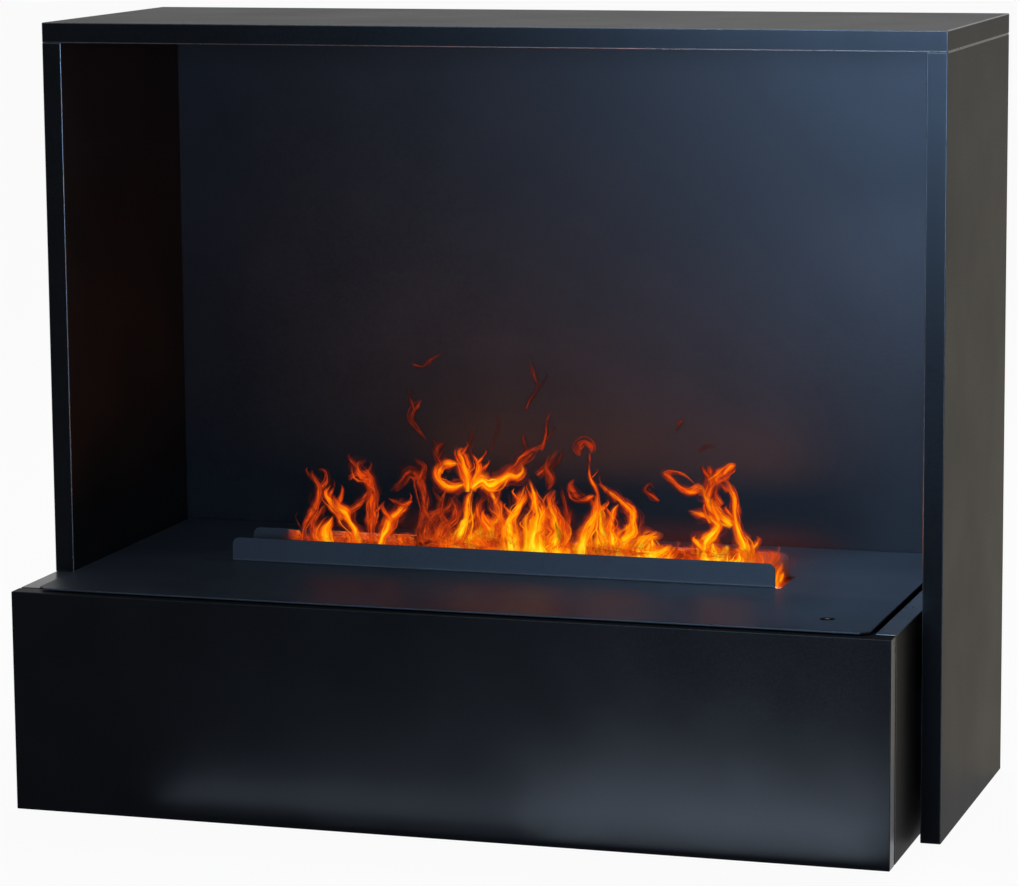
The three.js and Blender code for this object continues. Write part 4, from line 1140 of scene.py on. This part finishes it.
glowing = add_node(
    flame_tree, "ShaderNodeBsdfPrincipled", Base_Color=(0, 0, 0, 1), Roughness=1.0,
    Specular_IOR_Level=0.0, Emission_Strength=1.15)
flame_tree.links.new(colours.outputs["Color"], glowing.inputs["Emission Color"])
flame_tree.links.new(solid, glowing.inputs["Alpha"])
flame_out = flame_tree.nodes.new("ShaderNodeOutputMaterial")
flame_tree.links.new(glowing.outputs[0], flame_out.inputs["Surface"])
flame_finish.cycles.emission_sampling = "NONE"
print("flame finish with", len(flame_tree.nodes), "nodes")

# %% [markdown]
# A point of a tongue is read as a place in the photograph. The ray from the camera through that place
# meets the upright plane over the middle of the slot, and there the flame stands. So a tongue sits
# over the burner from every side and still matches the picture from the front.

# %% From a place in the photograph to a place over the slot
SLOT_MIDDLE = place(0, 131, 0).y


def over_slot(px, py, behind=0.0):
    scale = camera.data.sensor_width / camera.data.lens / PICTURE_WIDTH
    ray = Vector(((px - PICTURE_WIDTH / 2) * scale, (PICTURE_HEIGHT / 2 - py) * scale, -1))
    ray = camera.matrix_world.to_3x3() @ ray
    start = camera.matrix_world.translation
    reach = (SLOT_MIDDLE + behind - start.y) / ray.y
    return start + ray * reach


foot = over_slot(520, 548)
print("the flame's foot is", round(foot.z * 1000), "mm above the floor")

# %% The tongues, as places and widths in the photograph
# Each tongue: heat at its foot, heat at its tip, cover, then (across, down, width) along it
TONGUES = {
    "left": (
        (0.50, 0.34, 0.9, (
            (302, 543, 5), (304, 529, 4), (310, 517, 8), (316, 503, 13), (320, 488, 12), (314, 477, 9),
            (312, 470, 3))),
        (0.48, 0.25, 0.7, ((318, 490, 8), (326, 480, 8), (325, 472, 6), (317, 469, 2))),
        (0.80, 0.45, 1.0, (
            (359, 546, 11), (354, 529, 14), (345, 514, 14), (334, 503, 12), (327, 494, 10),
            (331, 484, 3))),
        (0.85, 0.55, 1.0, ((329, 546, 20), (327, 530, 15), (333, 516, 4))),
        (0.52, 0.40, 0.8, (
            (372, 546, 6), (371, 527, 8), (373, 510, 11), (374, 494, 11), (369, 481, 11),
            (361, 473, 13), (359, 464, 13), (367, 459, 3))),
        (0.44, 0.30, 0.7, ((361, 473, 8), (352, 476, 6), (348, 480, 2))),
        (0.50, 0.35, 0.6, ((346, 512, 7), (357, 505, 8), (366, 496, 6), (370, 488, 2))),
        (0.45, 0.30, 0.6, ((316, 546, 9), (312, 528, 9), (320, 512, 9), (330, 499, 3))),
    ),
    "small": (
        (0.74, 0.50, 1.0, (
            (379, 547, 11), (386, 530, 13), (394, 517, 13), (403, 507, 9), (413, 500, 2))),
        (0.46, 0.32, 0.8, ((412, 501, 2), (402, 505, 7), (394, 501, 5), (388, 498, 2))),
        (0.38, 0.30, 0.6, (
            (424, 548, 6), (420, 527, 7), (424, 509, 9), (425, 493, 11), (419, 479, 13), (410, 474, 12),
            (403, 480, 10), (396, 487, 7), (389, 491, 2))),
        (0.34, 0.18, 0.6, ((419, 479, 10), (422, 467, 9), (413, 458, 3))),
    ),
    "ring": (
        (0.50, 0.40, 0.6, (
            (424, 550, 16), (425, 532, 14), (433, 516, 12), (447, 508, 10), (459, 494, 2))),
        (0.56, 0.34, 0.6, (
            (438, 550, 22), (441, 531, 16), (452, 518, 13), (456, 506, 9), (449, 495, 3))),
        (0.42, 0.30, 0.5, (
            (448, 550, 18), (449, 530, 14), (440, 512, 12), (443, 498, 12), (447, 486, 4))),
        (0.72, 0.60, 0.95, (
            (464, 484, 6), (452, 487, 10), (441, 482, 12), (437, 473, 10), (443, 465, 9), (453, 463, 7),
            (461, 467, 5), (463, 475, 2))),
        (0.32, 0.18, 0.6, ((441, 468, 9), (437, 456, 10), (439, 447, 8), (446, 442, 2))),
        (0.74, 0.50, 1.0, (
            (468, 492, 10), (467, 476, 11), (463, 463, 11), (460, 452, 8), (464, 448, 2))),
        (0.68, 0.42, 0.95, (
            (470, 489, 10), (475, 479, 10), (479, 469, 10), (477, 460, 7), (471, 452, 2))),
        (0.26, 0.14, 0.5, ((469, 456, 6), (470, 441, 5), (475, 425, 2))),
    ),
    "middle": (
        (0.95, 0.60, 1.0, (
            (454, 552, 26), (460, 537, 18), (467, 520, 12), (468, 502, 8), (473, 488, 3))),
        (1.02, 0.52, 1.0, ((478, 552, 34), (486, 537, 32), (496, 525, 22), (499, 510, 4))),
        (0.80, 0.62, 0.95, (
            (472, 488, 6), (482, 480, 13), (490, 484, 15), (499, 481, 13), (508, 476, 13),
            (517, 478, 13), (523, 472, 9), (521, 463, 2))),
        (0.66, 0.60, 0.7, (
            (500, 550, 18), (505, 531, 14), (500, 515, 12), (494, 500, 10), (489, 486, 7))),
        (0.50, 0.34, 0.7, (
            (503, 482, 8), (511, 471, 11), (520, 461, 13), (531, 452, 13), (542, 445, 3))),
        (0.34, 0.18, 0.6, ((540, 450, 7), (546, 436, 6), (546, 423, 5), (551, 412, 2))),
        (0.36, 0.22, 0.5, ((537, 476, 9), (546, 468, 12), (553, 461, 11), (557, 449, 3))),
        (0.40, 0.28, 0.5, ((548, 490, 6), (551, 478, 9), (546, 467, 8), (550, 455, 3))),
        (0.94, 0.55, 1.0, (
            (511, 552, 18), (511, 531, 16), (515, 513, 14), (522, 499, 11), (525, 484, 3))),
        (0.96, 0.55, 1.0, (
            (535, 553, 26), (534, 532, 22), (538, 514, 18), (534, 497, 9), (528, 478, 3))),
        (0.80, 0.46, 0.9, (
            (553, 553, 24), (557, 533, 24), (553, 516, 20), (550, 501, 13), (555, 489, 3))),
        (0.46, 0.30, 0.7, (
            (568, 554, 12), (565, 537, 12), (567, 519, 9), (565, 502, 6), (561, 483, 2))),
        (0.58, 0.36, 0.6, (
            (494, 552, 12), (486, 534, 12), (478, 516, 12), (480, 500, 10), (486, 490, 3))),
    ),
    "right_of_middle": (
        (0.92, 0.40, 0.95, (
            (583, 555, 18), (585, 537, 17), (592, 521, 13), (597, 506, 9), (597, 490, 6), (590, 477, 4),
            (589, 463, 2))),
        (0.44, 0.34, 0.8, ((594, 496, 4), (584, 500, 9), (575, 494, 10), (571, 485, 8), (575, 479, 2))),
        (0.40, 0.36, 0.85, (
            (579, 456, 3), (578, 448, 8), (585, 442, 10), (593, 447, 9), (591, 454, 2))),
        (0.26, 0.20, 0.5, ((589, 453, 4), (589, 470, 4), (594, 487, 2))),
        (1.02, 0.60, 1.0, (
            (604, 557, 26), (606, 541, 23), (601, 525, 16), (598, 509, 9), (595, 495, 3))),
        (0.86, 0.46, 0.95, (
            (618, 558, 24), (625, 541, 21), (634, 526, 13), (630, 509, 11), (618, 498, 9),
            (606, 488, 7), (598, 483, 2))),
        (0.78, 0.50, 0.9, ((612, 545, 14), (611, 527, 12), (613, 513, 9), (619, 504, 2))),
        (0.98, 0.66, 1.0, ((630, 559, 26), (640, 547, 20), (650, 538, 13), (664, 535, 3))),
        (0.95, 0.70, 1.0, ((650, 560, 22), (660, 553, 14), (673, 545, 4))),
        (0.86, 0.60, 1.0, ((668, 561, 16), (671, 554, 11), (677, 547, 3))),
        (0.30, 0.22, 0.6, ((659, 501, 3), (652, 496, 7), (645, 490, 7), (650, 485, 5), (654, 489, 2))),
    ),
    "right": (
        (0.90, 0.50, 1.0, (
            (706, 563, 20), (707, 546, 17), (713, 534, 10), (720, 526, 9), (712, 518, 10),
            (700, 514, 10), (688, 511, 3))),
        (0.92, 0.46, 1.0, (
            (741, 565, 22), (746, 548, 16), (739, 532, 10), (735, 515, 11), (735, 501, 10),
            (729, 488, 9), (723, 476, 3))),
        (0.98, 0.80, 1.0, ((723, 564, 34), (727, 554, 20), (728, 545, 4))),
        (0.76, 0.62, 1.0, (
            (733, 525, 10), (722, 515, 14), (712, 504, 15), (705, 494, 12), (699, 484, 5))),
        (0.60, 0.44, 0.9, (
            (701, 487, 9), (690, 491, 7), (680, 488, 6), (672, 481, 6), (663, 473, 5), (673, 471, 5),
            (684, 475, 4), (695, 484, 2))),
        (0.60, 0.30, 0.9, ((705, 497, 13), (708, 484, 13), (711, 474, 10), (708, 465, 3))),
        (0.62, 0.48, 0.95, ((711, 484, 10), (722, 475, 12), (731, 467, 9), (736, 464, 2))),
        (0.52, 0.36, 0.7, ((721, 506, 9), (714, 495, 9), (717, 484, 3))),
    ),
    "wisps": (
        (0.24, 0.20, 0.55, ((412, 364, 2), (422, 367, 6), (431, 361, 6), (444, 351, 2))),
        (0.20, 0.32, 0.6, ((426, 440, 2), (417, 427, 5), (410, 416, 9), (415, 406, 8), (422, 399, 2))),
        (0.18, 0.26, 0.5, ((526, 409, 2), (531, 398, 4), (538, 385, 5), (533, 371, 6), (529, 358, 2))),
        (0.14, 0.12, 0.45, ((491, 452, 2), (497, 432, 4), (500, 412, 2))),
        (0.13, 0.11, 0.4, ((676, 432, 2), (680, 424, 4), (684, 418, 2))),
        (0.13, 0.11, 0.4, ((698, 452, 3), (708, 446, 6), (718, 449, 2))),
    ),
}
print(sum(len(group) for group in TONGUES.values()), "tongues placed by eye")


# %% [markdown]
# One flat stroke looks like a rope. A real tongue has a faint dark-red veil, a body, a yellow core and
# thin bright threads along its sides, so each tongue is laid in coats. Each coat fades to nothing at
# its edges, and its streaks tear holes in it towards the tip.

# %% The coats of a tongue, and one ribbon
# Each coat: width, warmth and cover against the tongue's own, place across it, cells across
VEIL = (2.0, -0.22, 0.34, 0.0, 8)
BODY = (1.12, -0.02, 0.95, 0.0, 8)
CORE = (0.50, 0.12, 0.95, 0.06, 4)
THREADS = ((0.24, 0.04, 0.55, 0.80, 2), (0.20, 0.0, 0.55, -0.74, 2), (0.14, 0.12, 0.7, 0.25, 2))
HOT = 0.6
STEP_BACK = 0.0012
FLAME_STEPS = 26
SWAY_SCALE = 60
BULGE_SCALE = 85
BULGE = 0.75
BOW = 0.5
ROOT_FADE = 7.0
ROOT_COVER = 0.3
TIP_FADE = 3.0
EDGE_COOLING = 0.26
FULL_COVER = 1.25
TORN_AT_FOOT = 2.2
TORN_MORE_AT_TIP = 3.2
STRAND_ACROSS = 0.13
STRAND_ALONG = 0.040
PIXEL = (over_slot(520, 500) - over_slot(521, 500)).length
BACKWARD = Vector((0, 1, 0))


def ribbon(shape, layers, tongue, coat, lie):
    foot_heat, tip_heat, cover, line = tongue
    wider, warmer, cover_share, across, cells = coat
    behind, lean, twist, seed, layer = lie
    spots = [over_slot(px, py, behind + layer * STEP_BACK + lean * i / len(line))
             for i, (px, py, w) in enumerate(line)]
    widths = [w for px, py, w in line]
    route = smooth_route(spots, max(3, FLAME_STEPS // (len(line) - 1)))
    rows, gone = [], 0.0
    for i, point in enumerate(route):
        share_up = i / (len(route) - 1)
        at = share_up * (len(widths) - 1)
        first = min(int(at), len(widths) - 2)
        width = widths[first] + (widths[first + 1] - widths[first]) * (at - first)
        reach = width * PIXEL * 0.5
        before = route[max(i - 1, 0)]
        ahead = (route[min(i + 1, len(route) - 1)] - before).normalized()
        side = ahead.cross(BACKWARD).normalized()
        angle = twist * math.sin(math.pi * share_up)
        flat = side * math.cos(angle) + BACKWARD * math.sin(angle)
        depth = ahead.cross(flat).normalized()
        gone += (point - before).length
        sway_at = Vector((point.x * SWAY_SCALE + seed, point.z * SWAY_SCALE, across * 3))
        sway = noise.noise(sway_at) * min(1, share_up * 3)
        middle = point + flat * reach * (across + (0.5 + abs(across)) * sway)
        bulge_at = Vector((point.x * BULGE_SCALE, point.z * BULGE_SCALE + seed, across + wider))
        bulge = 1 + BULGE * noise.noise(bulge_at)
        fade = min(min(1.0, (1 - share_up) * TIP_FADE), min(1.0, share_up * ROOT_FADE + ROOT_COVER))
        warm = foot_heat + warmer + (tip_heat - foot_heat) * share_up ** 0.8
        row = []
        for k in range(cells + 1):
            u = 2 * k / cells - 1
            spot = middle + flat * u * reach * wider * bulge + depth * (u * u - 0.4) * reach * BOW
            vert = shape.verts.new(spot)
            vert[layers["warmth"]] = warm - EDGE_COOLING * abs(u) ** 1.4
            vert[layers["cover"]] = cover * cover_share * FULL_COVER * (1 - u * u) ** 1.2 * fade
            vert[layers["torn"]] = TORN_AT_FOOT + TORN_MORE_AT_TIP * share_up
            strand = u * wider * width * STRAND_ACROSS + seed + across
            row.append((vert, (strand, gone / PIXEL * STRAND_ALONG)))
        rows.append(row)
    for row, following in zip(rows, rows[1:]):
        for k in range(cells):
            corners = (row[k], row[k + 1], following[k + 1], following[k])
            face = shape.faces.new([corner[0] for corner in corners])
            for loop, corner in zip(face.loops, corners):
                loop[layers["uv"]].uv = corner[1]


# How far a tongue may stand behind the line, lean, twist, and its seed
LIE_SPREAD = ((-0.014, 0.014), (-0.008, 0.008), (-0.7, 0.7), (0, 60))


def coats_of(tongue, rng):
    """The ribbons of one tongue with their lie: behind, lean, twist, seed and layer."""
    coats = [VEIL, BODY]
    if tongue[0] > HOT:
        coats.append(CORE)
    coats.extend(rng.sample(THREADS, 2))
    lie = [rng.uniform(least, most) for least, most in LIE_SPREAD]
    return [(coat, (*lie, -layer)) for layer, coat in enumerate(coats)]


# %% Small licks that leave a tongue sideways
LICK_SHORTEST = 26
LICK_SKIPPED = 0.25
LICK_OUT = (3, 8)
LICK_UP = (9, 20)


def licks_of(tongue, rng):
    foot_heat, tip_heat, cover, line = tongue
    tall = line[0][1] - min(py for px, py, w in line)
    licks = []
    for i in range(1, len(line) - 1):
        px, py, width = line[i]
        if tall < LICK_SHORTEST or rng.random() < LICK_SKIPPED:
            continue
        way = rng.choice((-1, 1))
        out = way * rng.uniform(*LICK_OUT)
        up = rng.uniform(*LICK_UP)
        warm = foot_heat + (tip_heat - foot_heat) * i / len(line)
        start = px + way * width * 0.3
        licks.append((warm - 0.04, warm - 0.30, cover * 0.75, (
            (start - way * 2, py + up * 0.3, width * 0.5),
            (start + out * 0.6, py - up * 0.3, width * 0.42),
            (start + out, py - up * 0.7, width * 0.26),
            (start + out * 0.7, py - up, 1.2))))
    return licks


# %% The bed of small flames behind the front lip
BED_START = 300
BED_END = 752
HOT_PARTS = ((455, 672), (703, 750))
LINE_START = 303
LINE_FALL = 0.042


def slot_line(across, level):
    """How far down the slot runs in the picture, at a place across it."""
    return level + (across - LINE_START) * LINE_FALL


def bed_tongues(rng):
    low_fire = []
    across = BED_START
    while across < BED_END:
        hot = any(left < across < right for left, right in HOT_PARTS)
        base = slot_line(across, 541) + 4
        tall = rng.uniform(10, 24) if hot else rng.uniform(5, 11)
        wide = rng.uniform(13, 20) if hot else rng.uniform(12, 18)
        bend = rng.uniform(-5, 5)
        warm = 1.0 if hot else 0.55
        low_fire.append((
            warm, warm - 0.32, 1.0 if hot else 0.5,
            ((across, base, wide), (across + bend * 0.5, base - tall * 0.5, wide * 0.8),
             (across + bend, base - tall, 2))))
        across += rng.uniform(7, 10) if hot else rng.uniform(13, 19)
    return tuple(low_fire)


def bed_veil():
    """Low sheets of red flame before the rear lip, which lie behind the tongues; they also paint the
    firelit orange glow of the rear lip.
    """
    return tuple(
        (0.56, 0.50, 0.62, (
            (across, slot_line(across, 548), 46), (across + 2, slot_line(across, 539), 44),
            (across, slot_line(across, 530), 34)))
        for across in range(318, 770, 26))


def slot_end():
    """Two low tongues in the slot's open right end, beyond the front lip; they are partly flame and
    partly a painted glow for the firelit inner walls there.
    """
    return (
        (0.75, 0.60, 0.90, ((772, 585, 15), (774, 581, 17), (777, 576, 13), (782, 562, 4))),
        (0.66, 0.54, 0.62, ((776, 584, 14), (779, 581, 15), (783, 576, 11), (785, 571, 4))),
    )


# %% Build the flame, group by group
TONGUES["bed"] = bed_tongues(random.Random(11))
# These sheets are partly flame and partly a painted glow of the firelight on the rear lip.
TONGUES["veil"] = bed_veil()
# These tongues are partly flame and partly a painted glow of the slot end's firelit walls.
TONGUES["slot_end"] = slot_end()
rng = random.Random(5)
faces = 0
for group, tongues in TONGUES.items():
    shape = bmesh.new()
    for name in ("warmth", "cover", "torn"):
        shape.verts.layers.float.new(name)
    layers = {name: shape.verts.layers.float[name] for name in ("warmth", "cover", "torn")}
    layers["uv"] = shape.loops.layers.uv.new("strands")
    for tongue in tongues:
        for coat, lie in coats_of(tongue, rng):
            ribbon(shape, layers, tongue, coat, lie)
        for lick in licks_of(tongue, rng):
            for coat, lie in coats_of(lick, rng)[:2]:
                ribbon(shape, layers, lick, coat, lie)
    mesh = bpy.data.meshes.new(f"flame_{group}")
    shape.to_mesh(mesh)
    shape.free()
    mesh.shade_smooth()
    mesh.materials.append(flame_finish)
    flame = bpy.data.objects.new(f"flame_{group}", mesh)
    bpy.context.scene.collection.objects.link(flame)
    flame.visible_shadow = False
    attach(flame, "fireplace")
    faces += len(mesh.polygons)
print(sum(len(group) for group in TONGUES.values()), "tongues of", faces, "faces in all")

# %% [markdown]
# The ribbons look bright but light little, so three warm lamps do it for them. A long, narrow one
# colours the rear lip, and a small one the slot's right end. Another long one hangs in the flame, and
# throws the glow on the under side of the top, the left side and the back.

# %% Firelight
FIRE_COLOUR = (1.0, 0.26, 0.045)
EMBER_COLOUR = (1.0, 0.11, 0.003)

lip_light = soft_box(
    "lip_light", place(24, 118, 285), place(24, 163, 256), (0.50, 0.018), 4.6, EMBER_COLOUR)
lip_light.data.spread = math.radians(60)
soft_box("slot_light", place(222, 157, 263), place(280, 120, 225), (0.06, 0.03), 0.6, FIRE_COLOUR)
soft_box("fire_light", place(0, 131, 300), place(0, 131, 600), (0.46, 0.03), 6.5, FIRE_COLOUR)
print("3 firelights")

# %% [markdown]
# ## Update the view layer

bpy.context.view_layer.update()
